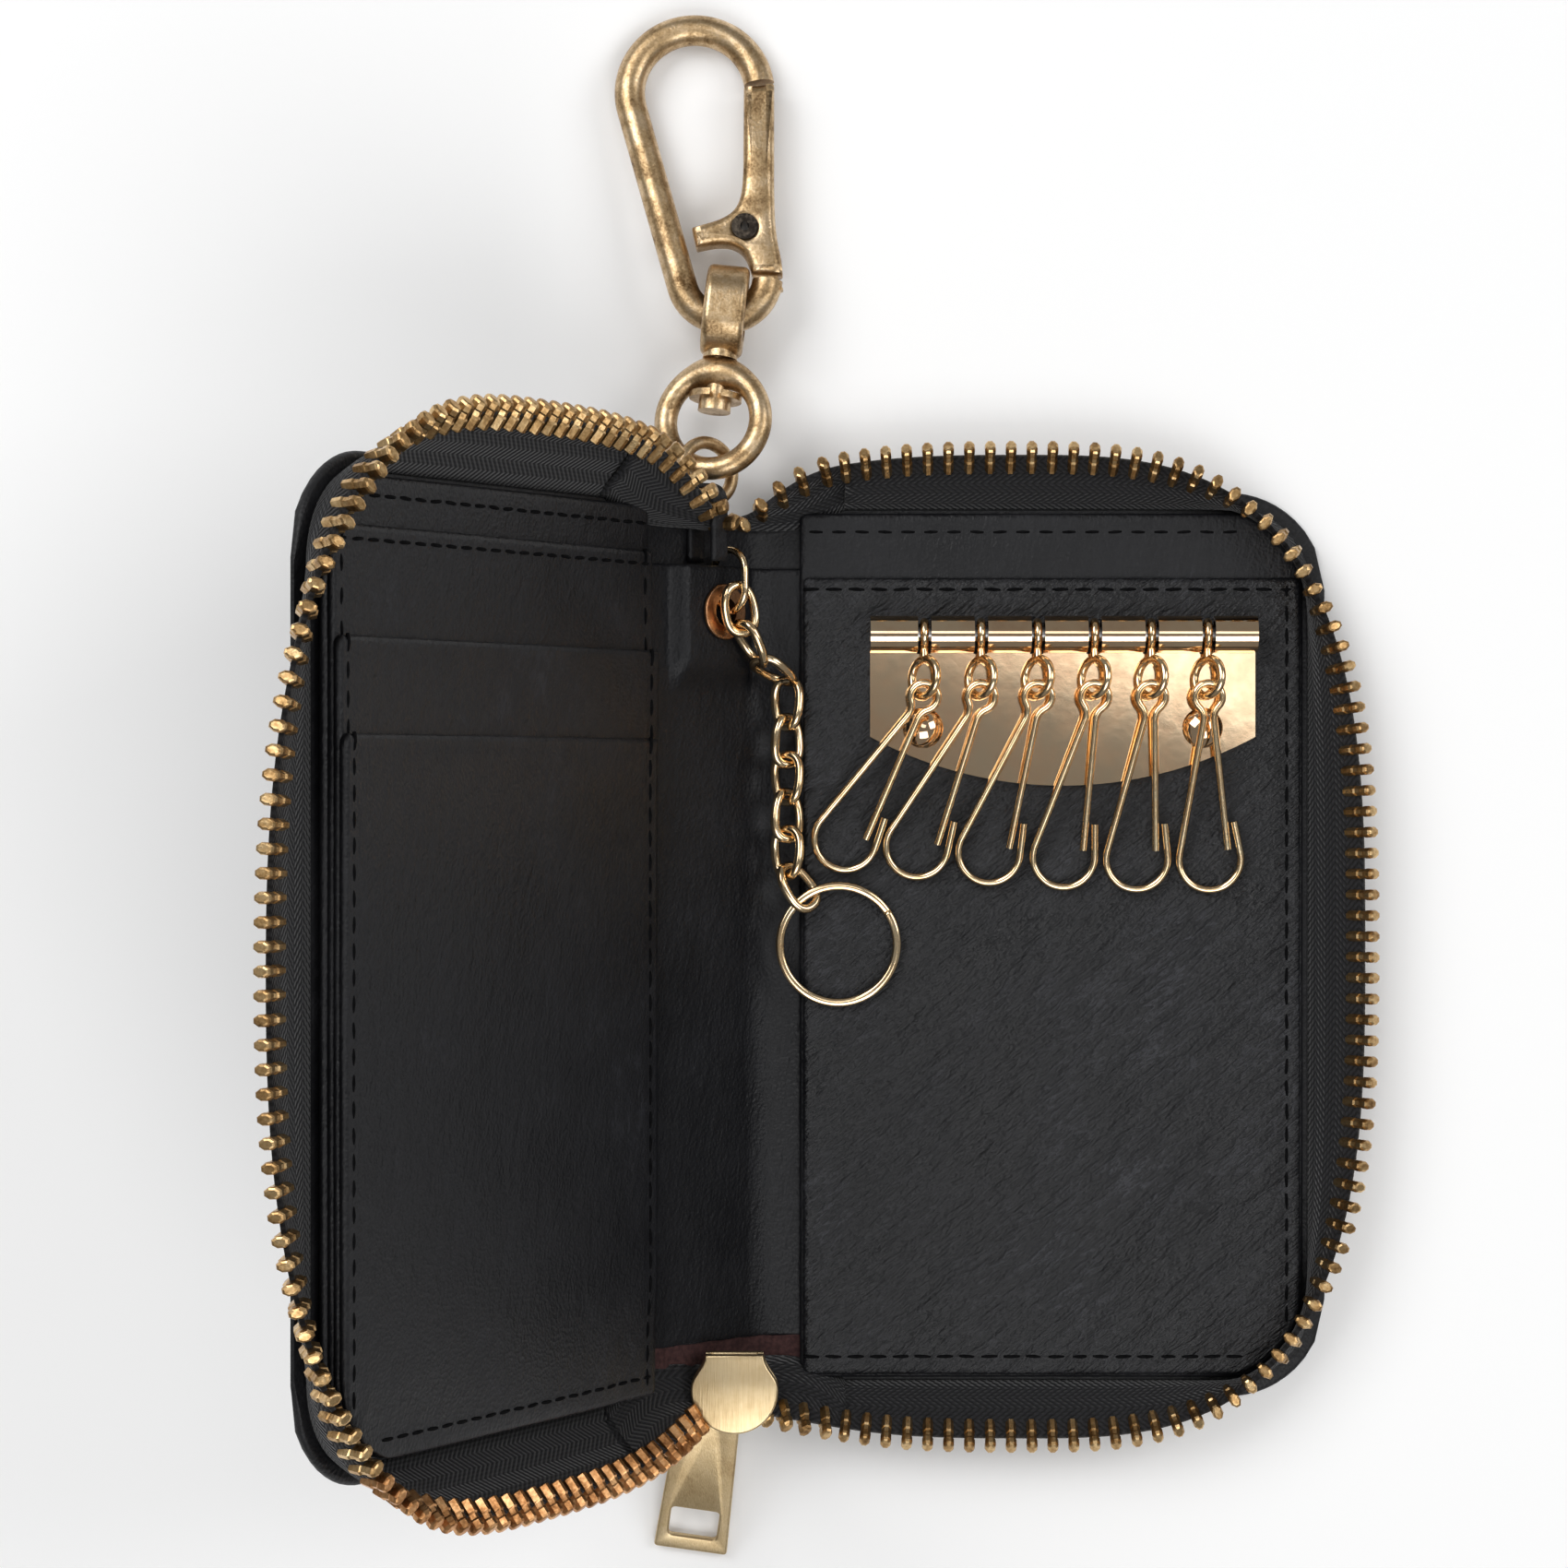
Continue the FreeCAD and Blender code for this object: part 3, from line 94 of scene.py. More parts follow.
# Frames of the three folding parts, in millimetres
@dataclass(frozen=True)
class CaseSizes:
    """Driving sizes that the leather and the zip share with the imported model."""

    cover_width: float = 70.5
    cover_height: float = 112.0
    cover_corner: float = 12.0
    leather: float = 1.2
    spine_width: float = 18.0
    spine_height: float = 105.0
    spine_tilt: float = 45.0
    front_tilt: float = 59.5

    def spine_frame(self) -> Matrix:
        """Matrix of the spine, whose own X runs back to the fold beside the back page."""
        fold = Vector((-self.cover_width / 2, 0, self.leather / 2))
        return Matrix.Translation(fold) @ Matrix.Rotation(math.radians(self.spine_tilt), 4, "Y")

    def front_frame(self) -> Matrix:
        """Matrix of the front page, whose own X runs back to its fold and whose inner face is up."""
        fold = self.spine_frame() @ Vector((-self.spine_width, 0, 0))
        return Matrix.Translation(fold) @ Matrix.Rotation(math.radians(self.front_tilt), 4, "Y")

    def back_frame(self) -> Matrix:
        """Matrix of the back page, which is the model's own frame."""
        return Matrix.Identity(4)


SIZES = CaseSizes()


class Body(str, Enum):
    """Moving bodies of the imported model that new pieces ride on."""

    BACK = "back_page"
    SPINE = "spine"
    FRONT = "front_page"
    PULL = "pull"
    RING = "split_ring"
    GATE = "gate"
    SWIVEL = "swivel_ring"


class Fold(Enum):
    """The two halves of the folding leather, each with the bodies that it joins."""

    BACK = (Body.BACK, Body.SPINE)
    FRONT = (Body.FRONT, Body.SPINE)


PAGES = ((Fold.BACK, "back"), (Fold.FRONT, "front"))

# Places of the mesh lines beside a sheet's edge
EDGE_STEPS = (0.12, 0.35, 0.8)


# Mesh helpers
def add(name: str, data: bpy.types.ID) -> Piece:
    """Put a new object with its data into the scene."""
    piece = bpy.data.objects.new(name, data)
    bpy.context.scene.collection.objects.link(piece)
    return piece


def new_piece(name: str, points: Sequence[Vector], faces: Sequence[Sequence[int]], material: Finish,
              smooth: bool = True, uvs: Sequence[Place] | None = None) -> Piece:
    """Make a mesh object at the origin from points in millimetres.

    Args:
        name: Name of the piece.
        points: Corners in millimetres in the model's frame.
        faces: Corner numbers of each face.
        material: Finish of the whole piece.
        smooth: Whether the faces shade smoothly.
        uvs: One UV place for each point, if a pattern follows the surface.

    Returns:
        The linked object.
    """
    mesh = bpy.data.meshes.new(name)
    mesh.from_pydata([Vector(point) * MM for point in points], [], [list(face) for face in faces])
    if uvs is not None:
        layer = mesh.uv_layers.new(name="UVMap")
        for loop in mesh.loops:
            layer.data[loop.index].uv = uvs[loop.vertex_index]
    mesh.materials.append(material)
    mesh.polygons.foreach_set("use_smooth", [smooth] * len(mesh.polygons))
    mesh.update()
    return add(name, mesh)


def grid_faces(rows: int, columns: int, first: int = 0, flip: bool = False,
               ring: bool = False) -> list[tuple]:
    """Give the faces of a grid of points that is stored row by row.

    Args:
        rows: Number of rows.
        columns: Number of points in a row.
        first: Number of the grid's first point.
        flip: Whether the faces point the other way.
        ring: Whether each row closes on itself.

    Returns:
        Corner numbers of each face.
    """
    faces = []
    for row in range(rows - 1):
        for column in range(columns if ring else columns - 1):
            near = first + row * columns
            right = (column + 1) % columns
            face = (near + column, near + right, near + columns + right, near + columns + column)
            faces.append(face[::-1] if flip else face)
    return faces


def sandwich(rows: int, columns: int) -> list[tuple]:
    """Give the faces of two equal grids, upper first, joined round their rim.

    Args:
        rows: Number of rows in each grid.
        columns: Number of points in a row.

    Returns:
        Corner numbers of each face.
    """
    count = rows * columns
    faces = grid_faces(rows, columns) + grid_faces(rows, columns, count, flip=True)
    rim = [(0, column) for column in range(columns)]
    rim += [(row, columns - 1) for row in range(1, rows)]
    rim += [(rows - 1, column) for column in range(columns - 2, -1, -1)]
    rim += [(row, 0) for row in range(rows - 2, 0, -1)]
    numbers = [row * columns + column for row, column in rim]
    for here, there in zip(numbers, numbers[1:] + numbers[:1]):
        faces.append((there, here, here + count, there + count))
    return faces


def spread(length: float, step: float, edge: Sequence[float] = EDGE_STEPS) -> list[float]:
    """Give places from 0 to a length, close together near both ends.

    Args:
        length: Length to cover.
        step: Distance between the even places, about.
        edge: Places beside an end, the last of which starts the even ones.

    Returns:
        The places in order.
    """
    inner = length - 2 * edge[-1]
    count = max(1, round(inner / step))
    middle = [edge[-1] + inner * number / count for number in range(count + 1)]
    return [0.0, *edge[:-1], *middle, *[length - place for place in reversed(edge[:-1])], length]


def smooth_step(low: float, high: float, value: float) -> float:
    """Rise smoothly from 0 to 1 between two values."""
    share = min(1.0, max(0.0, (value - low) / (high - low)))
    return share * share * (3 - 2 * share)


def hump(distance: float, width: float) -> float:
    """Give a soft hump of height 1 at distance 0."""
    return math.exp(-(distance / width) ** 2)


def wave(x: float, y: float, grain: Point) -> float:
    """Give a smooth chance height at a place, from a wave length each way and the noise's layer."""
    return noise.noise(Vector((x / grain[0], y / grain[1], grain[2])))


def corner_inset(radius: float, distance: float) -> float:
    """Give how far a round corner steps in at a distance from the end of its sheet."""
    return radius - math.sqrt(max(0.0, radius ** 2 - max(0.0, radius - distance) ** 2))


def edge_fullness(distance: float, reach: float = 0.6, least: float = 0.04) -> float:
    """Give how full a sheet's thickness is near its edge, for a rounded rim."""
    return math.sqrt(max(least, 1 - (1 - min(1.0, distance / reach)) ** 2))


def tube(path: Sequence[Vector], radius: float, sides: int, closed: bool = False, squash: float = 1.0,
         up: Vector = UP, swell: Sequence[float] | None = None) -> tuple[list[Vector], list[tuple]]:
    """Make a round or flattened tube along a path.

    Args:
        path: Points of the centre line.
        radius: Half of the tube's width.
        sides: Points round the tube.
        closed: Whether the path closes on itself.
        squash: Height of the tube over its width.
        up: Way in which the height is measured.
        swell: What the radius is multiplied by at each point.

    Returns:
        The points and the faces.
    """
    points = []
    count = len(path)
    for number, middle in enumerate(path):
        after = path[(number + 1) % count] if closed or number + 1 < count else middle
        before = path[number - 1] if closed or number > 0 else middle
        along = (after - before).normalized()
        side = along.cross(up).normalized()
        rise = side.cross(along).normalized()
        reach = radius * (swell[number] if swell else 1.0)
        for corner in range(sides):
            angle = 2 * math.pi * corner / sides
            rim = middle + side * (reach * math.cos(angle))
            points.append(rim + rise * (reach * squash * math.sin(angle)))
    faces = grid_faces(count, sides, ring=True, flip=True)
    if closed:
        last = (count - 1) * sides
        faces += [(corner, (corner + 1) % sides, last + (corner + 1) % sides, last + corner)
                  for corner in range(sides)]
    else:
        faces.append(tuple(range(sides)))
        faces.append(tuple(reversed(range((count - 1) * sides, count * sides))))
    return points, faces


def bezier(corners: Sequence[Vector], count: int) -> list[Vector]:
    """Give points along a Bezier curve with any number of corners.

    Args:
        corners: Control points of the curve.
        count: Number of points.

    Returns:
        The points from the first corner to the last.
    """
    points = []
    for number in range(count):
        share = number / (count - 1)
        layer = [corner.copy() for corner in corners]
        while len(layer) > 1:
            layer = [near.lerp(far, share) for near, far in zip(layer, layer[1:])]
        points.append(layer[0])
    return points


def plain_mesh(piece: Piece, name: str) -> Piece:
    """Turn an object's evaluated shape into a plain mesh object and drop the first object.

    Args:
        piece: Object with a modifier, or a curve.
        name: Name of the new object.

    Returns:
        The new object at the origin.
    """
    evaluated = piece.evaluated_get(bpy.context.evaluated_depsgraph_get())
    mesh = bpy.data.meshes.new_from_object(evaluated)
    mesh.transform(piece.matrix_world)
    bpy.data.objects.remove(piece)
    mesh.name = name
    return add(name, mesh)


def recalculate(piece: Piece, merge: float = 0.0) -> None:
    """Point a closed shell's faces outwards, after merging its doubles.

    Args:
        piece: Mesh object to mend.
        merge: Distance in metres within which points merge, if any.
    """
    shell = bmesh.new()
    shell.from_mesh(piece.data)
    if merge:
        bmesh.ops.remove_doubles(shell, verts=shell.verts, dist=merge)
    bmesh.ops.recalc_face_normals(shell, faces=shell.faces)
    shell.to_mesh(piece.data)
    shell.free()


def pierce(piece: Piece, frame: Matrix, place: Place, radius: float) -> None:
    """Take away a sheet's faces round a place, where another piece goes through it.

    Args:
        piece: Sheet to open.
        frame: Frame in which the place is given.
        place: Middle of the hole.
        radius: Radius of the hole.
    """
    mesh = bmesh.new()
    mesh.from_mesh(piece.data)
    inwards = frame.inverted()
    gone = []
    for face in mesh.faces:
        middle = inwards @ (face.calc_center_median() / MM)
        if math.hypot(middle.x - place[0], middle.y - place[1]) < radius:
            gone.append(face)
    bmesh.ops.delete(mesh, geom=gone, context="FACES")
    mesh.to_mesh(piece.data)
    mesh.free()


def join(name: str, parts: Sequence[Piece]) -> Piece:
    """Join some pieces into the first.

    Args:
        name: Name of the joined piece.
        parts: Pieces to join.

    Returns:
        The joined piece.
    """
    first = parts[0]
    with bpy.context.temp_override(active_object=first, object=first, selected_objects=list(parts),
                                   selected_editable_objects=list(parts)):
        bpy.ops.object.join()
    first.name = name
    return first


def circle(radius: float, centre: Place = (0.0, 0.0), count: int = 24) -> list[Place]:
    """Give a round plan outline.

    Args:
        radius: Radius of the circle.
        centre: Middle of the circle.
        count: Number of points.

    Returns:
        The points in order.
    """
    angles = [number * math.pi / (count / 2) for number in range(count)]
    return [(centre[0] + radius * math.cos(angle), centre[1] + radius * math.sin(angle))
            for angle in angles]


def trapezium(half_top: float, half_foot: float, top: float, foot: float) -> list[Place]:
    """Give the four corners of a plan whose upper and lower edges are level."""
    return [(-half_top, top), (half_top, top), (half_foot, foot), (-half_foot, foot)]


def round_corners(corners: Sequence[tuple[float, ...]], radius: float, steps: int = 6) -> list[Place]:
    """Round the corners of a plan outline.

    Args:
        corners: Corners in order, each with its own radius as a third number if it has one.
        radius: Radius of the other corners.
        steps: Steps round each corner.

    Returns:
        The points of the rounded outline.
    """
    result = []
    count = len(corners)
    for number in range(count):
        before, here, after = (Vector(corners[(number + shift) % count][:2]) for shift in (-1, 0, 1))
        reach = corners[number][2] if len(corners[number]) > 2 else radius
        into = here + (before - here).normalized() * min(reach, (before - here).length / 2)
        out = here + (after - here).normalized() * min(reach, (after - here).length / 2)
        for step in range(steps + 1):
            share = step / steps
            point = into.lerp(here, share).lerp(here.lerp(out, share), share)
            result.append((point.x, point.y))
    return result


PLATE_MERGE = 1e-6
PLATE_SHARP = math.radians(34)
PLATE_EDGE_STEPS = 3


def plate(name: str, outlines: Sequence[Sequence[Place]], low: float, high: float, round_edge: float,
          material: Finish) -> Piece:
    """Make a flat plate with round edges from plan outlines in millimetres.

    Args:
        name: Name of the piece.
        outlines: The rim, then any holes.
        low: Level of the lower face.
        high: Level of the upper face.
        round_edge: Radius of the rounded edges.
        material: Finish.

    Returns:
        The new piece at the origin.
    """
    curve = bpy.data.curves.new(name, "CURVE")
    curve.dimensions = "2D"
    curve.fill_mode = "BOTH"
    curve.extrude = ((high - low) / 2 - round_edge) * MM
    curve.bevel_depth = round_edge * MM
    curve.bevel_resolution = PLATE_EDGE_STEPS
    curve.offset = -round_edge * MM
    for outline in outlines:
        line = curve.splines.new("POLY")
        line.points.add(len(outline) - 1)
        for point, (x, y) in zip(line.points, outline):
            point.co = (x * MM, y * MM, 0, 1)
        line.use_cyclic_u = True
    carrier = add(name, curve)
    carrier.location = (0, 0, (low + high) / 2 * MM)
    bpy.context.view_layer.update()
    piece = plain_mesh(carrier, name)
    recalculate(piece, PLATE_MERGE)
    piece.data.materials.clear()
    piece.data.materials.append(material)
    piece.data.polygons.foreach_set("use_smooth", [True] * len(piece.data.polygons))
    piece.data.set_sharp_from_angle(angle=PLATE_SHARP)
    return piece


# Finishes
class Shader:
    """Small builder of one procedural material on Object or UV coordinates."""

    NOISE_LOW = 0.3
    NOISE_HIGH = 0.7

    def __init__(self, name: str, metallic: float = 0.0, specular: float = 0.5,
                 coordinates: str = "Object") -> None:
        """Start a material with one Principled shader and one coordinate source.

        Args:
            name: Name of the material.
            metallic: 1 for metal.
            specular: Strength of the reflection at its surface.
            coordinates: Object, or UV where a pattern follows the surface.
        """
        self.material = bpy.data.materials.new(name)
        self.material.use_nodes = True
        self.nodes = self.material.node_tree.nodes
        self.links = self.material.node_tree.links
        self.surface = self.nodes["Principled BSDF"]
        self.surface.inputs["Metallic"].default_value = metallic
        self.surface.inputs["Specular IOR Level"].default_value = specular
        self.place = self.nodes.new("ShaderNodeTexCoord").outputs[coordinates]

    def link(self, source: Socket, target: Socket) -> None:
        """Join two sockets."""
        self.links.new(source, target)

    def node(self, kind: str, inputs: dict[str, object]) -> bpy.types.ShaderNode:
        """Add a node.

        Args:
            kind: Kind of the node.
            inputs: For each input's name, the socket that feeds it or its value.

        Returns:
            The new node.
        """
        node = self.nodes.new(kind)
        for name, value in inputs.items():
            if isinstance(value, Socket):
                self.link(value, node.inputs[name])
            else:
                node.inputs[name].default_value = value
        return node

    def mapped(self, scale: Colour, turn: Colour = (0, 0, 0)) -> Socket:
        """Give the coordinates turned, then scaled.

        Args:
            scale: Scale each way.
            turn: Turn about each axis in degrees.

        Returns:
            The changed coordinates.
        """
        angles = [math.radians(angle) for angle in turn]
        turned = self.node("ShaderNodeMapping", {"Vector": self.place, "Rotation": angles})
        scaled = self.node("ShaderNodeMapping", {"Vector": turned.outputs["Vector"], "Scale": scale})
        return scaled.outputs["Vector"]

    def noise(self, scale: float, detail: float = 3.0, vector: Socket | None = None,
              rough: float = 0.5) -> Socket:
        """Give a noise value.

        Args:
            scale: Spots for each metre, about.
            detail: Layers of finer noise.
            vector: Coordinates, if not the material's own.
            rough: Strength of the finer layers.

        Returns:
            The value.
        """
        return self.node("ShaderNodeTexNoise", {"Vector": vector or self.place, "Scale": scale,
                                                "Detail": detail, "Roughness": rough}).outputs["Fac"]

    def cells(self, scale: float) -> Socket:
        """Give the distance of a cell pattern, for leather grain, by its cells for each metre."""
        node = self.node("ShaderNodeTexVoronoi", {"Vector": self.place, "Scale": scale})
        return node.outputs["Distance"]

    def math(self, kind: str, first: Socket | float, second: Socket | float = 0.0) -> Socket:
        """Give the result of one sum.

        Args:
            kind: Operation of the node.
            first: First value.
            second: Second value, if the operation has one.

        Returns:
            The result.
        """
        node = self.nodes.new("ShaderNodeMath")
        node.operation = kind
        for socket, value in zip(node.inputs, (first, second)):
            if isinstance(value, Socket):
                self.link(value, socket)
            else:
                socket.default_value = value
        return node.outputs["Value"]

    def blend(self, first: Socket, share: float, second: Socket, other: float) -> Socket:
        """Add two values, each with its share."""
        return self.math("ADD", self.math("MULTIPLY", first, share), self.math("MULTIPLY", second, other))

    def colour(self, value: Socket, *stops: tuple[float, Colour]) -> None:
        """Colour the surface by a value.

        Args:
            value: Value that chooses the colour.
            stops: Values in rising order, each with its colour.
        """
        node = self.node("ShaderNodeValToRGB", {"Fac": value})
        row = node.color_ramp.elements
        while len(row) < len(stops):
            row.new(0.5)
        for element, (position, colour) in zip(row, stops):
            element.position = position
            element.color = (*colour, 1)
        self.link(node.outputs["Color"], self.surface.inputs["Base Color"])

    def rough(self, value: Socket, low: float, high: float) -> None:
        """Let the roughness follow a value.

        Args:
            value: Noise value.
            low: Roughness where the value is low.
            high: Roughness where the value is high.
        """
        node = self.node("ShaderNodeMapRange", {"Value": value, "From Min": self.NOISE_LOW,
                                                "From Max": self.NOISE_HIGH, "To Min": low, "To Max": high})
        self.link(node.outputs["Result"], self.surface.inputs["Roughness"])

    def bump(self, *layers: tuple[Socket, float]) -> None:
        """Stack heights into the shader's normal.

        Args:
            layers: Height values from the lowest up, each with its depth in metres.
        """
        below = None
        for height, depth in layers:
            node = self.node("ShaderNodeBump", {"Height": height, "Distance": depth})
            if below:
                self.link(below, node.inputs["Normal"])
            below = node.outputs["Normal"]
        self.link(below, self.surface.inputs["Normal"])


@dataclass(frozen=True)
class Leather:
    """Soft black leather with fine grain, creases, a low sheen and painted highlight lines on the crease
    ridges.
    """

    name: str
    dark: Colour
    light: Colour
    rough: Place
    crease_turn: float
    crease_depth: float
    # glint, line and bright set the painted highlight: lighter thin lines along the crease ridges
    glint: float
    line: float = 0.045
    bright: float = 2.8
    specular: float = 0.3
    cloud_scale: float = 90.0
    cloud_share: float = 0.75
    fine_scale: float = 1100.0
    fine_rough: float = 0.6
    fine_share: float = 0.25
    fine_depth: float = 0.00005
    grain_scale: float = 2300.0
    grain_depth: float = 0.00005
    crease_scale: float = 150.0
    crease_stretch: Colour = (1.0, 4.2, 1.0)
    crease_rough: float = 0.62
    stops: tuple[float, float, float] = (0.34, 0.68, 1.0)

    def build(self) -> Finish:
        """Make the material."""
        shader = Shader(self.name, specular=self.specular)
        cloud = shader.noise(self.cloud_scale, 4)
        grain = shader.cells(self.grain_scale)
        streaks = shader.mapped(self.crease_stretch, (0, 0, -self.crease_turn))
        crease = shader.noise(self.crease_scale, 5, streaks, self.crease_rough)
        ridge = shader.math("ABSOLUTE", shader.math("SUBTRACT", crease, 0.5))
        fine = shader.noise(self.fine_scale, 4, rough=self.fine_rough)
        mottle = shader.blend(cloud, self.cloud_share, fine, self.fine_share)
        # Painted highlight: thin lines on the crease ridges get a colour up to bright times the light tone,
        # patchy with the cloud noise
        edge = shader.math("MAXIMUM", shader.math("SUBTRACT", self.line, ridge), 0.0)
        painted_crease_highlight = shader.math("MULTIPLY", shader.math("MULTIPLY", edge, self.glint / self.line), cloud)
        bright = tuple(self.bright * part for part in self.light)
        shader.colour(shader.math("ADD", mottle, painted_crease_highlight), *zip(self.stops, (self.dark, self.light, bright)))
        shader.rough(cloud, *self.rough)
        shader.bump((ridge, self.crease_depth), (fine, self.fine_depth), (grain, self.grain_depth))
        return shader.material


@dataclass(frozen=True)
class Metal:
    """Metal whose plating wears from a dark tone to a bright one."""

    name: str
    dark: Colour
    middle: Colour
    bright: Colour
    rough: Place
    patch: float = 260.0
    patch_rough: float = 0.62
    patch_share: float = 0.7
    grain: float = 2600.0
    grain_share: float = 0.3
    depth: float = 0.00002
    stretch: Colour = (1, 1, 1)
    stops: tuple[float, float, float] = (0.33, 0.47, 0.62)

    def build(self) -> Finish:
        """Make the material."""
        shader = Shader(self.name, metallic=1.0)
        patch = shader.noise(self.patch, 5, rough=self.patch_rough)
        grain = shader.noise(self.grain, 3, shader.mapped(self.stretch))
        wear = shader.blend(patch, self.patch_share, grain, self.grain_share)
        shader.colour(wear, *zip(self.stops, (self.dark, self.middle, self.bright)))
        shader.rough(wear, *reversed(self.rough))
        shader.bump((grain, self.depth))
        return shader.material


@dataclass(frozen=True)
class Weave:
    """Woven zip cloth with a herringbone that follows the tape."""

    name: str
    dark: Colour
    light: Colour
    roughness: float = 0.85
    sheen: float = 0.15
    specular: float = 0.25
    wave: float = 0.0032
    slant: float = 1.2
    thread: float = 0.0009
    thread_share: float = 0.36
    ply: float = 0.55
    ply_share: float = 0.12
    level: float = 0.5
    depth: float = 0.00018
    stops: Place = (0.1, 0.9)

    def build(self) -> Finish:
        """Make the material."""
        shader = Shader(self.name, specular=self.specular, coordinates="UV")
        shader.surface.inputs["Roughness"].default_value = self.roughness
        shader.surface.inputs["Sheen Weight"].default_value = self.sheen
        split = shader.nodes.new("ShaderNodeSeparateXYZ")
        shader.link(shader.place, split.inputs["Vector"])
        across = shader.math("PINGPONG", split.outputs["Y"], self.wave / 2)
        along = shader.math("ADD", split.outputs["X"], shader.math("MULTIPLY", across, self.slant))
        thread = shader.math("SINE", shader.math("MULTIPLY", along, 2 * math.pi / self.thread))
        ply_turn = 2 * math.pi / (self.thread * self.ply)
        ply = shader.math("SINE", shader.math("MULTIPLY", split.outputs["Y"], ply_turn))
        height = shader.blend(thread, self.thread_share, ply, self.ply_share)
        height = shader.math("ADD", height, self.level)
        shader.colour(height, *zip(self.stops, (self.dark, self.light)))
        shader.bump((height, self.depth))
        return shader.material


@dataclass(frozen=True)
class Plain:
    """Plain dull material with a little mottle, for thread, cloth and hidden sheet."""

    name: str
    dark: Colour
    light: Colour
    rough: float = 0.8
    scale: float = 900.0
    depth: float = 0.00004
    specular: float = 0.3
    stops: Place = (0.35, 0.65)

    def build(self) -> Finish:
        """Make the material."""
        shader = Shader(self.name, specular=self.specular)
        shader.surface.inputs["Roughness"].default_value = self.rough
        speck = shader.noise(self.scale, 3)
        shader.colour(speck, *zip(self.stops, (self.dark, self.light)))
        shader.bump((speck, self.depth))
        return shader.material


def made_by(kind: Leather | Metal | Weave | Plain) -> Finish:
    """Give a field that builds one finish when the set of finishes is made."""
    return field(default_factory=kind.build)


@dataclass
class Finishes:
    """Every finish of the case, built once."""

    # glint sets the strength of each leather's painted crease highlight lines
    page: Finish = made_by(Leather(
        "page_leather", (0.0042, 0.0043, 0.0055), (0.0085, 0.0087, 0.0105), rough=(0.38, 0.52),
        crease_turn=80, crease_depth=0.00025, glint=0.3))
    wrinkled: Finish = made_by(Leather(
        "wrinkled_leather", (0.004, 0.0041, 0.005), (0.0105, 0.0107, 0.0125),
        rough=(0.29, 0.44), crease_turn=37, crease_depth=0.0009, glint=0.6, line=0.03))
    cover: Finish = made_by(Leather(
        "cover_leather", (0.005, 0.005, 0.006), (0.011, 0.011, 0.0125), rough=(0.42, 0.58),
        crease_turn=55, crease_depth=0.0002, glint=0.3))
    tape: Finish = made_by(Weave("zip_tape_weave", (0.003, 0.003, 0.0035), (0.016, 0.016, 0.0185)))
    thread: Finish = made_by(Plain(
        "stitch_thread", (0.0012, 0.0012, 0.0015), (0.004, 0.004, 0.0045), rough=0.9, scale=2500,
        specular=0.08))
    maroon: Finish = made_by(Plain(
        "maroon_cloth", (0.03, 0.012, 0.012), (0.06, 0.026, 0.024), rough=0.9, scale=1800))
    teeth: Finish = made_by(Metal(
        "tooth_brass", (0.16, 0.085, 0.03), (0.44, 0.27, 0.115), (0.7, 0.5, 0.26),
        rough=(0.24, 0.42), patch=400))
    copper_teeth: Finish = made_by(Metal(
        "tooth_copper", (0.17, 0.07, 0.025), (0.46, 0.22, 0.085), (0.72, 0.42, 0.2),
        rough=(0.24, 0.42), patch=400))
    antique: Finish = made_by(Metal(
        "antique_brass", (0.14, 0.08, 0.035), (0.46, 0.315, 0.165), (0.72, 0.545, 0.345),
        rough=(0.27, 0.5), patch=330, grain=3200, depth=0.00003))
    brushed: Finish = made_by(Metal(
        "brushed_brass", (0.4, 0.28, 0.14), (0.56, 0.42, 0.235), (0.68, 0.54, 0.33),
        rough=(0.3, 0.4), patch=120, grain=900, stretch=(9, 0.35, 9)))
    gold: Finish = made_by(Metal(
        "pale_gold", (0.72, 0.47, 0.29), (0.84, 0.6, 0.38), (0.9, 0.7, 0.47),
        rough=(0.05, 0.11), patch=60, grain=500, depth=0.000004))
    wire: Finish = made_by(Metal(
        "gold_wire", (0.7, 0.47, 0.24), (0.85, 0.62, 0.36), (0.92, 0.74, 0.48),
        rough=(0.1, 0.2), patch=300, grain=1500, depth=0.000006))
    copper: Finish = made_by(Metal(
        "copper_plate", (0.25, 0.11, 0.05), (0.5, 0.25, 0.12), (0.66, 0.37, 0.2), rough=(0.22, 0.36)))
    steel: Finish = made_by(Metal(
        "spring_steel", (0.12, 0.12, 0.125), (0.3, 0.3, 0.31), (0.5, 0.5, 0.51), rough=(0.25, 0.4)))
    # Near-black rivet: painted shade that stands in for the dark inside of the hollow rivet
    painted_rivet_shade: Finish = made_by(Metal(
        "painted_rivet_shade", (0.012, 0.01, 0.008), (0.035, 0.029, 0.024), (0.16, 0.13, 0.1), rough=(0.3, 0.45)))
    board: Finish = made_by(Plain("stiff_sheet", (0.03, 0.03, 0.03), (0.05, 0.05, 0.05)))


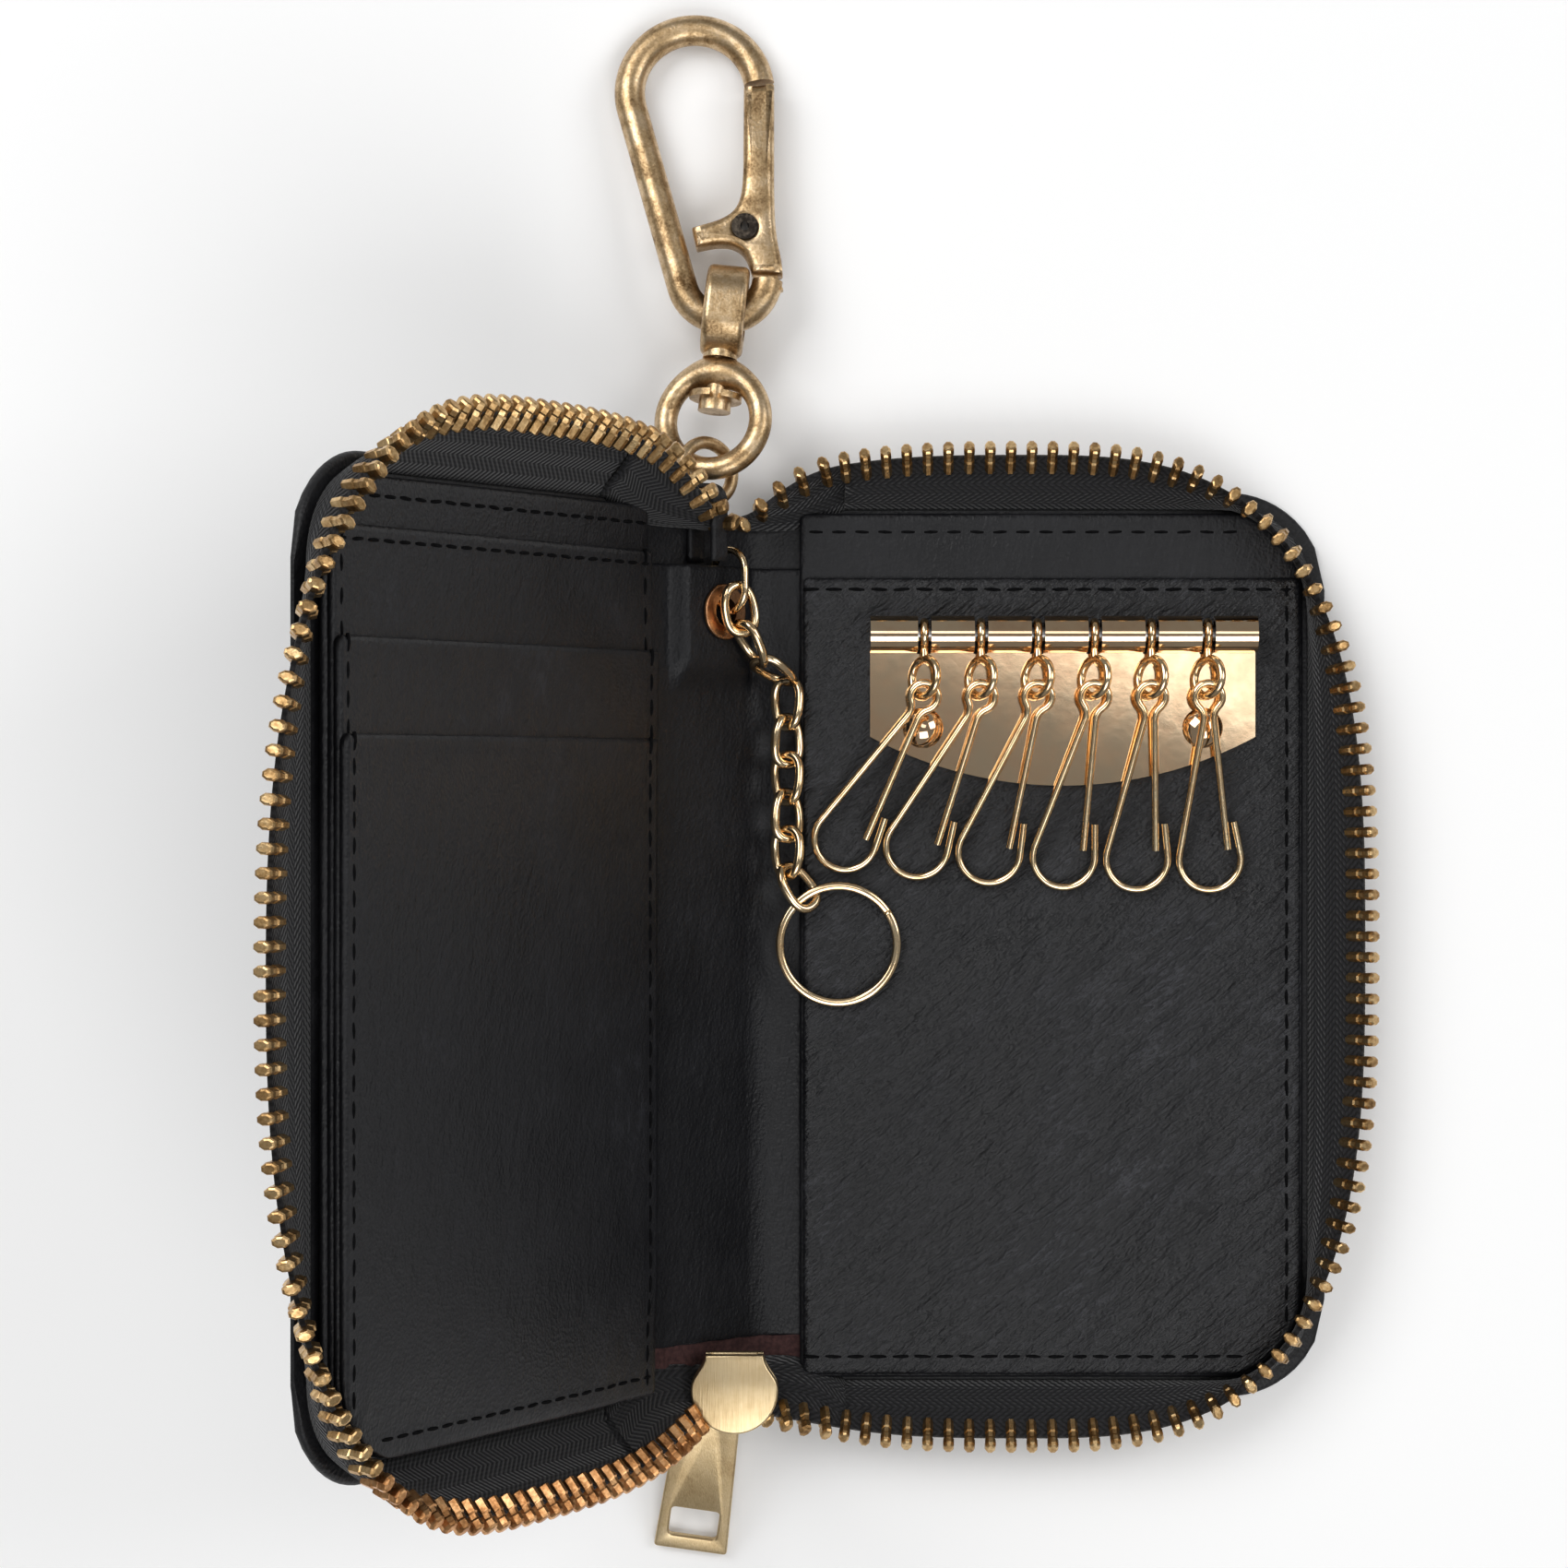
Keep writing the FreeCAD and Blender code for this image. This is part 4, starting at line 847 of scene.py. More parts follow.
# Copies along a path
class CopyRow:
    """Geometry Nodes tree that sets turned copies of one shape along paths, such as stitches and teeth."""

    TREE = "copies_along_path"
    SEED = 7

    def __init__(self) -> None:
        """Build the tree with named inputs."""
        tree = bpy.data.node_groups.new(self.TREE, "GeometryNodeTree")
        self.tree = tree
        tree.interface.new_socket("Geometry", in_out="OUTPUT", socket_type="NodeSocketGeometry")
        for name, kind in (("Geometry", "Geometry"), ("Copy", "Object"), ("Pitch", "Float"),
                           ("Lean", "Float"), ("Seed", "Int"), ("Finish", "Material")):
            tree.interface.new_socket(name, in_out="INPUT", socket_type="NodeSocket" + kind)
        new = tree.nodes.new
        given = new("NodeGroupInput").outputs
        curve = new("GeometryNodeMeshToCurve")
        spaced = new("GeometryNodeResampleCurve")
        spaced.mode = "LENGTH"
        tangent = new("GeometryNodeInputTangent")
        upward = new("GeometryNodeInputNamedAttribute")
        upward.data_type = "FLOAT_VECTOR"
        upward.inputs["Name"].default_value = "up"
        along = new("FunctionNodeAlignRotationToVector")
        along.axis = "X"
        upright = new("FunctionNodeAlignRotationToVector")
        upright.axis = "Z"
        upright.pivot_axis = "X"
        chance = new("FunctionNodeRandomValue")
        chance.data_type = "FLOAT"
        low = new("ShaderNodeMath")
        low.operation = "MULTIPLY"
        low.inputs[1].default_value = -1
        twist = new("ShaderNodeCombineXYZ")
        lean = new("FunctionNodeEulerToRotation")
        turn = new("FunctionNodeRotateRotation")
        turn.rotation_space = "LOCAL"
        shape = new("GeometryNodeObjectInfo")
        copies = new("GeometryNodeInstanceOnPoints")
        real = new("GeometryNodeRealizeInstances")
        finish = new("GeometryNodeSetMaterial")
        made = new("NodeGroupOutput")
        floats = [socket for socket in chance.inputs if socket.type == "VALUE"]
        value = next(socket for socket in chance.outputs if socket.type == "VALUE")
        vector = next(socket for socket in upward.outputs if socket.name == "Attribute")
        for source, target in (
                (given["Geometry"], curve.inputs["Mesh"]), (curve.outputs["Curve"], spaced.inputs["Curve"]),
                (given["Pitch"], spaced.inputs["Length"]), (tangent.outputs[0], along.inputs["Vector"]),
                (along.outputs[0], upright.inputs["Rotation"]), (vector, upright.inputs["Vector"]),
                (given["Lean"], low.inputs[0]), (low.outputs[0], floats[0]), (given["Lean"], floats[1]),
                (given["Seed"], chance.inputs["Seed"]), (value, twist.inputs["Z"]),
                (twist.outputs[0], lean.inputs[0]), (upright.outputs[0], turn.inputs["Rotation"]),
                (lean.outputs[0], turn.inputs["Rotate By"]), (given["Copy"], shape.inputs["Object"]),
                (spaced.outputs["Curve"], copies.inputs["Points"]),
                (shape.outputs["Geometry"], copies.inputs["Instance"]),
                (turn.outputs[0], copies.inputs["Rotation"]), (copies.outputs[0], real.inputs[0]),
                (real.outputs[0], finish.inputs["Geometry"]), (given["Finish"], finish.inputs["Material"]),
                (finish.outputs[0], made.inputs[0])):
            tree.links.new(source, target)

    def lay(self, name: str, paths: Iterable[Edges], copy: Piece, pitch: float, finish: Finish,
            lean: float = 0.0) -> Piece:
        """Set copies along some paths and give the result as a plain mesh.

        Args:
            name: Name of the new piece.
            paths: For each path its points in millimetres and the way that is up at each.
            copy: Shape to repeat, long along its own X, with its own Z up.
            pitch: Distance between copies in millimetres.
            finish: Material of the copies.
            lean: Largest chance turn of a copy, in degrees.

        Returns:
            The new piece.
        """
        points: list[Vector] = []
        ups: list[float] = []
        edges = []
        for path, ways in paths:
            first = len(points)
            points += [Vector(point) * MM for point in path]
            for way in ways:
                ups.extend(way)
            edges += [(number, number + 1) for number in range(first, len(points) - 1)]
        mesh = bpy.data.meshes.new(name)
        mesh.from_pydata(points, edges, [])
        mesh.attributes.new("up", "FLOAT_VECTOR", "POINT").data.foreach_set("vector", ups)
        carrier = add(name + "_path", mesh)
        modifier = carrier.modifiers.new("copies", "NODES")
        modifier.node_group = self.tree
        sockets = {item.name: item.identifier for item in self.tree.interface.items_tree
                   if item.in_out == "INPUT"}
        for key, value in (("Copy", copy), ("Pitch", pitch * MM), ("Lean", math.radians(lean)),
                           ("Seed", self.SEED), ("Finish", finish)):
            modifier[sockets[key]] = value
        return plain_mesh(carrier, name)


# Folding leather
@dataclass
class FoldPath:
    """Line that the leather follows from a page's free edge to the middle of the spine."""

    fold: Fold
    bend: float = 3.0
    bend_steps: int = 12
    blend_share: float = 1.2

    def ends(self) -> tuple[Vector, Vector, Vector]:
        """Give the free edge, the fold and the spine's middle in the XZ plane.

        Returns:
            The three places.
        """
        spine = SIZES.spine_frame()
        middle = spine @ Vector((-SIZES.spine_width / 2, 0, 0))
        if self.fold is Fold.BACK:
            return Vector((SIZES.cover_width / 2, 0, SIZES.leather / 2)), spine.translation, middle
        front = SIZES.front_frame()
        return front @ Vector((-SIZES.cover_width, 0, 0)), front.translation, middle

    def marks(self, start: float, step: float) -> list[float]:
        """Give distances past the fold, evenly on the flat runs and close together on the bend.

        Args:
            start: Distance from the fold at which the line starts, on the page.
            step: Distance between marks on the flat runs.

        Returns:
            The distances, less than zero on the page.
        """
        count = max(2, round((start - self.bend) / step))
        marks = [-start + (start - self.bend) * number / count for number in range(count)]
        marks += [-self.bend + 2 * self.bend * number / self.bend_steps
                  for number in range(self.bend_steps + 1)]
        rest = SIZES.spine_width / 2 - self.bend
        runs = max(2, round(rest / step))
        return marks + [self.bend + rest * number / runs for number in range(1, runs + 1)]

    def stations(self, start: float, step: float) -> list[tuple[Vector, Vector, float]]:
        """Give points along the line with the way to its inner side.

        Args:
            start: Distance from the fold at which the line starts, on the page.
            step: Distance between points on the flat runs.

        Returns:
            For each point its place, its inner way and its signed distance past the fold.
        """
        free, fold, middle = self.ends()
        page = (fold - free).normalized()
        spine = (middle - fold).normalized()
        side = 1 if self.fold is Fold.BACK else -1
        result = []
        for mark in self.marks(start, step):
            share = (mark + self.bend) / (2 * self.bend)
            if share <= 0:
                point, way = fold + page * mark, page
            elif share >= 1:
                point, way = fold + spine * mark, spine
            else:
                low, high = fold - page * self.bend, fold + spine * self.bend
                point = low.lerp(fold, share).lerp(fold.lerp(high, share), share)
                way = page.lerp(spine, share).normalized()
            result.append((point, Vector((way.z * side, 0, -way.x * side)), mark))
        return result


SHEET_LINES = 95
SHEET_SHARP = math.radians(55)
SHEET_FIRST = 0.05


def folded_sheet(name: str, path: FoldPath, start: float, extent: Callable[[float], Place], lift: Relief,
                 thickness: float, material: Finish, step: float = 1.2) -> Piece:
    """Make a sheet of leather that follows a fold.

    Args:
        name: Name of the piece.
        path: Line that it follows.
        start: Distance from the fold at which the sheet starts.
        extent: Lowest and highest Y at a distance past the fold.
        lift: Height of the sheet's middle above the line, by distance past the fold and Y.
        thickness: Thickness of the leather.
        material: Finish.
        step: Distance between mesh lines.

    Returns:
        The new piece, which bends from the page to the spine.
    """
    stations = path.stations(start, step)
    upper, lower = [], []
    columns = 0
    for point, way, mark in stations:
        low, high = extent(mark)
        places = spread(high - low, (high - low - 2 * EDGE_STEPS[-1]) / SHEET_LINES)
        columns = len(places)
        for place in places:
            y = low + place
            rim = edge_fullness(min(place, high - low - place, mark + start + SHEET_FIRST))
            middle = point + Vector((0, y, 0)) + way * lift(mark, y)
            upper.append(middle + way * (thickness / 2 * rim))
            lower.append(middle - way * (thickness / 2 * rim))
    piece = new_piece(name, upper + lower, sandwich(len(stations), columns), material)
    recalculate(piece)
    piece.data.set_sharp_from_angle(angle=SHEET_SHARP)
    free, fold, middle = path.ends()
    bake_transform(piece)
    return piece


@dataclass
class Covers:
    """Outer leather of both pages and the spine, and the spine's lining with its raised mouth."""

    finishes: Finishes
    shoulder: Place = (-5.0, 0.5)
    lining_start: float = 6.2
    lining_low: float = -48.3
    lining_high: float = 46.5
    lining_thickness: float = 0.7
    lining_gap: float = 0.3
    lining_step: float = 0.6
    ripple: float = 0.08
    ripple_grain: Point = (6.0, 19.0, 4.0)
    mouth_foot: float = 31.3
    mouth_full: float = 35.1
    mouth_sides: Place = (7.0, 5.2)
    mouth_rise: float = 1.75
    eyelet: Place = (-8.5, 40.9)
    eyelet_hole: float = 2.2

    def cover_extent(self, mark: float) -> Place:
        """Give the outer leather's Y limits, with round corners at the free edge.

        Args:
            mark: Distance past the fold.

        Returns:
            The lowest and the highest Y.
        """
        high = SIZES.cover_height / 2 - corner_inset(SIZES.cover_corner, mark + SIZES.cover_width)
        high -= (SIZES.cover_height - SIZES.spine_height) / 2 * smooth_step(*self.shoulder, mark)
        return -high, high

    def lining_lift(self, fold: Fold, mark: float, y: float) -> float:
        """Give the spine lining's height: flat, and raised at the mouth.

        Args:
            fold: Half of the leather.
            mark: Distance past the fold.
            y: Place along the fold.

        Returns:
            The height above the leather's middle.
        """
        level = SIZES.leather / 2 + self.lining_gap
        across = SIZES.spine_width / 2 - mark
        mouth = smooth_step(self.mouth_foot, self.mouth_full, y) * smooth_step(*self.mouth_sides, across)
        sign = 1 if fold is Fold.BACK else -1
        x = -SIZES.spine_width / 2 + sign * across
        ripple = self.ripple * wave(x, y, self.ripple_grain)
        return level + mouth * self.mouth_rise + ripple

    def build(self) -> None:
        """Make the four leather pieces."""
        for fold, page in PAGES:
            path = FoldPath(fold)
            skin = folded_sheet(page + "_outer_leather", path, SIZES.cover_width, self.cover_extent,
                                lambda mark, y: 0.0, SIZES.leather, self.finishes.cover)
            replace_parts(skin, page + "_cover", "spine_cover")
            lining = folded_sheet(page + "_spine_lining", path, self.lining_start,
                                  lambda mark: (self.lining_low, self.lining_high),
                                  lambda mark, y, half=fold: self.lining_lift(half, mark, y),
                                  self.lining_thickness, self.finishes.page, self.lining_step)
            pierce(lining, SIZES.spine_frame(), self.eyelet, self.eyelet_hole)
            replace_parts(lining, "spine_panel")


# Panels and sewing
@dataclass
class Panel:
    """Flat leather panel sewn on a page, with round corners and a soft relief."""

    name: str
    frame: Matrix
    left: float
    right: float
    bottom: float
    top: float
    level: float
    thickness: float
    corners: tuple[float, float, float, float]
    relief: Relief
    step: float = 1.0
    rim_reach: float = 0.7
    rim_share: float = 0.6
    seam_step: float = 1.2
    seam_sink: float = 0.04

    def limits(self, y: float) -> Place:
        """Give the panel's edges at a height, corners counted from the lower left round.

        Args:
            y: Height on the panel.

        Returns:
            The left and the right edge.
        """
        lower_left, lower_right, upper_right, upper_left = self.corners
        up, down = y - self.bottom, self.top - y
        left = self.left + max(corner_inset(lower_left, up), corner_inset(upper_left, down))
        return left, self.right - max(corner_inset(lower_right, up), corner_inset(upper_right, down))

    def height(self, x: float, y: float) -> float:
        """Give the upper face's level at a place."""
        return self.level + self.relief(x, y)

    def build(self, material: Finish, body: Body) -> Piece:
        """Make the panel and let it ride on a body.

        Args:
            material: Finish of the leather.
            body: Body that carries the panel.

        Returns:
            The new piece.
        """
        rows = spread(self.top - self.bottom, self.step)
        shares = [place / (self.right - self.left) for place in spread(self.right - self.left, self.step)]
        upper, lower = [], []
        for row in rows:
            y = self.bottom + row
            left, right = self.limits(y)
            for share in shares:
                x = left + (right - left) * share
                distance = min(row, self.top - y, x - left, right - x)
                rim = (1 - edge_fullness(distance, self.rim_reach)) * self.thickness * self.rim_share
                upper.append(self.frame @ Vector((x, y, self.height(x, y) - rim)))
                lower.append(self.frame @ Vector((x, y, self.level - self.thickness)))
        piece = new_piece(self.name, upper + lower, sandwich(len(rows), len(shares)), material)
        recalculate(piece)
        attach(piece, body.value)
        return piece

    def seam(self, *corners: Place) -> Edges:
        """Give a line of sewing over the panel's face.

        Args:
            corners: Plan places that the line joins.

        Returns:
            Points along the line and the way that is up at each.
        """
        points, ways = [], []
        up = (self.frame.to_3x3() @ UP).normalized()
        for (x0, y0), (x1, y1) in zip(corners, corners[1:]):
            count = max(2, round(math.hypot(x1 - x0, y1 - y0) / self.seam_step))
            for number in range(count + 1):
                x = x0 + (x1 - x0) * number / count
                y = y0 + (y1 - y0) * number / count
                points.append(self.frame @ Vector((x, y, self.height(x, y) - self.seam_sink)))
                ways.append(up)
        return points, ways


@dataclass
class Stitches:
    """Sewing thread: one short stitch repeated along every seam."""

    rows: CopyRow
    finishes: Finishes
    length: float = 1.9
    width: float = 0.42
    pitch: float = 2.75
    arch: float = 0.2
    sink: float = 0.1
    lean: float = 4.0
    shares: tuple[float, ...] = (-1, -0.6, 0, 0.6, 1)
    sides: int = 6

    def stitch(self) -> Piece:
        """Make one stitch that dips into the leather at both ends.

        Returns:
            The stitch.
        """
        half = self.length / 2
        path = [Vector((half * share, 0, self.arch * (1 - share * share) - self.sink))
                for share in self.shares]
        points, faces = tube(path, self.width / 2, self.sides)
        return new_piece("one_stitch", points, faces, self.finishes.thread)

    def sew(self, name: str, seams: Sequence[Edges], body: Body) -> None:
        """Sew some seams as one piece that rides on a body.

        Args:
            name: Name of the new piece.
            seams: Points and upward ways of each seam.
            body: Body that carries the sewing.
        """
        copy = self.stitch()
        piece = self.rows.lay(name, seams, copy, self.pitch, self.finishes.thread, self.lean)
        bpy.data.objects.remove(copy)
        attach(piece, body.value)


@dataclass
class BackPage:
    """Inside of the back page: lining and one pocket of wrinkled leather."""

    finishes: Finishes
    stitches: Stitches
    left: float = -29.75
    right: float = 32.35
    end: float = 53.3
    sheet: float = 0.8
    lining_level: float = 2.8
    pocket_level: float = 3.6
    pocket_top: float = 45.3
    pocket_step: float = 0.75
    inset: float = 0.4
    corner: float = 9.6
    small_corner: float = 0.6
    mouth_corner: float = 0.8
    crease_turn: float = math.radians(37)
    wide_grain: Point = (30.0, 11.0, 1.3)
    wide_height: float = 0.32
    close_lengths: Place = (19.0, 4.6)
    close_layer: float = 7.1
    close_shape: tuple[float, float, int, float, float] = (0.9, 2.1, 3, 0.9, 1.8)
    close_height: float = 0.24
    crease_sag: float = 0.06
    crease_rows: Place = (27.0, 10.0)
    crease_columns: Place = (-30.0, -8.0)
    crease_least: float = 0.45
    crease_more: float = 0.55
    groove: float = 0.16
    groove_width: float = 0.5
    groove_top: float = 1.45
    seam_top: float = 1.4
    seam_left: float = 1.4
    seam_side: float = 2.1
    seam_foot: float = 2.6
    side_start: float = 1.6
    corner_up: float = 5.2
    corner_in: float = 6.4
    lining_seam: float = 51.0
    lining_seam_left: float = 2.0
    lining_seam_right: float = 9.0
    lining_wave: float = 0.1
    lining_grain: Point = (14.0, 9.0, 2.2)
    lining_groove: float = 0.14

    def wrinkles(self, x: float, y: float) -> float:
        """Give the pocket's relief: creases that run up to the right, flat under the key row.

        Args:
            x: Place across the page.
            y: Place up the page.

        Returns:
            The height above the pocket's level.
        """
        along = x * math.cos(self.crease_turn) + y * math.sin(self.crease_turn)
        across = y * math.cos(self.crease_turn) - x * math.sin(self.crease_turn)
        wide = wave(along, across, self.wide_grain)
        spot = Vector((along / self.close_lengths[0], across / self.close_lengths[1], self.close_layer))
        close = noise.ridged_multi_fractal(spot, *self.close_shape)
        share = self.crease_least + self.crease_more * smooth_step(*self.crease_columns, x)
        strength = smooth_step(*self.crease_rows, y) * share
        hem = hump(self.pocket_top - self.groove_top - y, self.groove_width)
        hem += hump(self.right - self.seam_side - x, self.groove_width)
        hem += hump(y + self.end - self.seam_foot, self.groove_width)
        creases = strength * (self.wide_height * wide - self.close_height * close)
        return creases - self.crease_sag * strength - self.groove * hem

    def lining_relief(self, x: float, y: float) -> float:
        """Give the lining's relief: a low wave and a groove along its sewing."""
        low = self.lining_wave * wave(x, y, self.lining_grain)
        return low - self.lining_groove * hump(y - self.lining_seam, self.groove_width)

    def build(self) -> None:
        """Make the lining, the pocket and their sewing."""
        frame = SIZES.back_frame()
        small, corner = self.small_corner, self.corner
        lining = Panel("back_page_lining", frame, self.left, self.right, -self.end, self.end,
                       self.lining_level, self.sheet, (small, corner, corner, small), self.lining_relief)
        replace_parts(lining.build(self.finishes.page, Body.BACK), "back_lining")
        pocket = Panel("back_page_pocket", frame, self.left + self.inset, self.right - self.inset,
                       -self.end + self.inset, self.pocket_top, self.pocket_level, self.sheet,
                       (small, corner, self.mouth_corner, small), self.wrinkles, self.pocket_step)
        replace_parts(pocket.build(self.finishes.wrinkled, Body.BACK), "back_pocket")
        start, side = self.left + self.seam_left, self.right - self.seam_side
        top, foot = self.pocket_top - self.seam_top, -self.end + self.seam_foot
        seams = [pocket.seam((start, top), (side, top)),
                 pocket.seam((side, self.pocket_top - self.side_start), (side, foot + self.corner_up)),
                 pocket.seam((start, foot), (side - self.corner_in, foot)),
                 lining.seam((self.left + self.lining_seam_left, self.lining_seam),
                             (self.right - self.lining_seam_right, self.lining_seam))]
        self.stitches.sew("back_page_stitches", seams, Body.BACK)


@dataclass
class FrontPage:
    """Inside of the front page: lining and three stepped card pockets."""

    finishes: Finishes
    stitches: Stitches
    left: float = -67.6
    right: float = -3.2
    end: float = 53.3
    nodes: tuple[str, str, str] = ("card_pocket_top", "card_pocket_middle", "card_pocket_front")
    tops: tuple[float, float, float] = (47.8, 35.8, 25.3)
    base_level: float = 2.2
    layer: float = 0.8
    lining_step: float = 1.4
    inset: float = 0.4
    corner: float = 9.6
    small_corner: float = 0.6
    mouth_corner: float = 1.2
    wave_height: float = 0.14
    wave_sag: float = 0.03
    wave_grain: Point = (17.0, 26.0, 5.5)
    roll: float = 0.14
    roll_inset: float = 0.6
    roll_width: float = 0.7
    groove: float = 0.13
    groove_width: float = 0.5
    slider_room: float = 0.4
    room_columns: Place = (15.0, 8.0)
    room_rows: Place = (14.0, 8.0)
    front_shy: float = 1.5
    seam_edge: float = 1.9
    seam_fold: float = 1.8
    seam_foot: float = 2.7
    seam_start: float = 0.8
    seam_gap: float = 0.6
    top_seam: float = 1.6
    corner_up: float = 5.0
    corner_in: float = 6.0
    lining_seam: float = 2.2
    lining_seam_left: float = 9.0
    lining_seam_right: float = 2.0

    def soft_wave(self, x: float, y: float) -> float:
        """Give the soft wave of smooth pocket leather."""
        return self.wave_height * wave(x, y, self.wave_grain) - self.wave_sag

    def pocket_relief(self, top: float, fold: float) -> Relief:
        """Give one pocket's relief, with a rolled upper edge and grooves along its sewing.

        Args:
            top: Height of the pocket's upper edge.
            fold: Place of the seam beside the fold.

        Returns:
            The height by place.
        """
        edge = self.left + self.seam_edge
        columns = [self.right - inset for inset in self.room_columns]
        rows = [inset - self.end for inset in self.room_rows]

        def relief(x: float, y: float) -> float:
            """Give the height at a place on the pocket."""
            roll = self.roll * hump(top - self.roll_inset - y, self.roll_width)
            side = hump(x - edge, self.groove_width) + hump(fold - x, self.groove_width)
            near_slider = smooth_step(*columns, x) * smooth_step(*rows, y)
            return self.soft_wave(x, y) + roll - self.groove * side - self.slider_room * near_slider
        return relief

    def build_pocket(self, number: int) -> list[Edges]:
        """Make one card pocket.

        Args:
            number: 0 for the pocket that lies deepest.

        Returns:
            The pocket's seams.
        """
        top, node = self.tops[number], self.nodes[number]
        last = number == len(self.tops) - 1
        edge, foot = self.left + self.seam_edge, -self.end + self.seam_foot
        right = self.right - self.inset - (self.front_shy if last else 0)
        fold = right - self.seam_fold
        pocket = Panel("page_" + node, SIZES.front_frame(), self.left + self.inset, right,
                       -self.end + self.inset, top, self.base_level + (number + 1) * self.layer, self.layer,
                       (self.corner, self.small_corner, self.small_corner, self.mouth_corner),
                       self.pocket_relief(top, fold))
        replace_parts(pocket.build(self.finishes.page, Body.FRONT), node)
        start = top - self.seam_start
        if last:
            return [pocket.seam((edge, start), (edge, foot + self.corner_up)),
                    pocket.seam((fold, start), (fold, foot)),
                    pocket.seam((edge + self.corner_in, foot), (fold, foot))]
        low = self.tops[number + 1] + self.seam_gap
        seams = [pocket.seam((edge, start), (edge, low)), pocket.seam((fold, start), (fold, low))]
        if number == 0:
            seams.append(pocket.seam((edge, top - self.top_seam), (fold, top - self.top_seam)))
        return seams

    def build(self) -> None:
        """Make the lining, the pockets and their sewing."""
        lining = Panel("front_page_lining", SIZES.front_frame(), self.left, self.right, -self.end, self.end,
                       self.base_level, self.layer,
                       (self.corner, self.small_corner, self.small_corner, self.corner), self.soft_wave,
                       self.lining_step)
        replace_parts(lining.build(self.finishes.page, Body.FRONT), "front_lining")
        level = self.end - self.lining_seam
        seams = [lining.seam((self.left + self.lining_seam_left, level),
                             (self.right - self.lining_seam_right, level))]
        for number in range(len(self.tops)):
            seams += self.build_pocket(number)
        self.stitches.sew("front_page_stitches", seams, Body.FRONT)


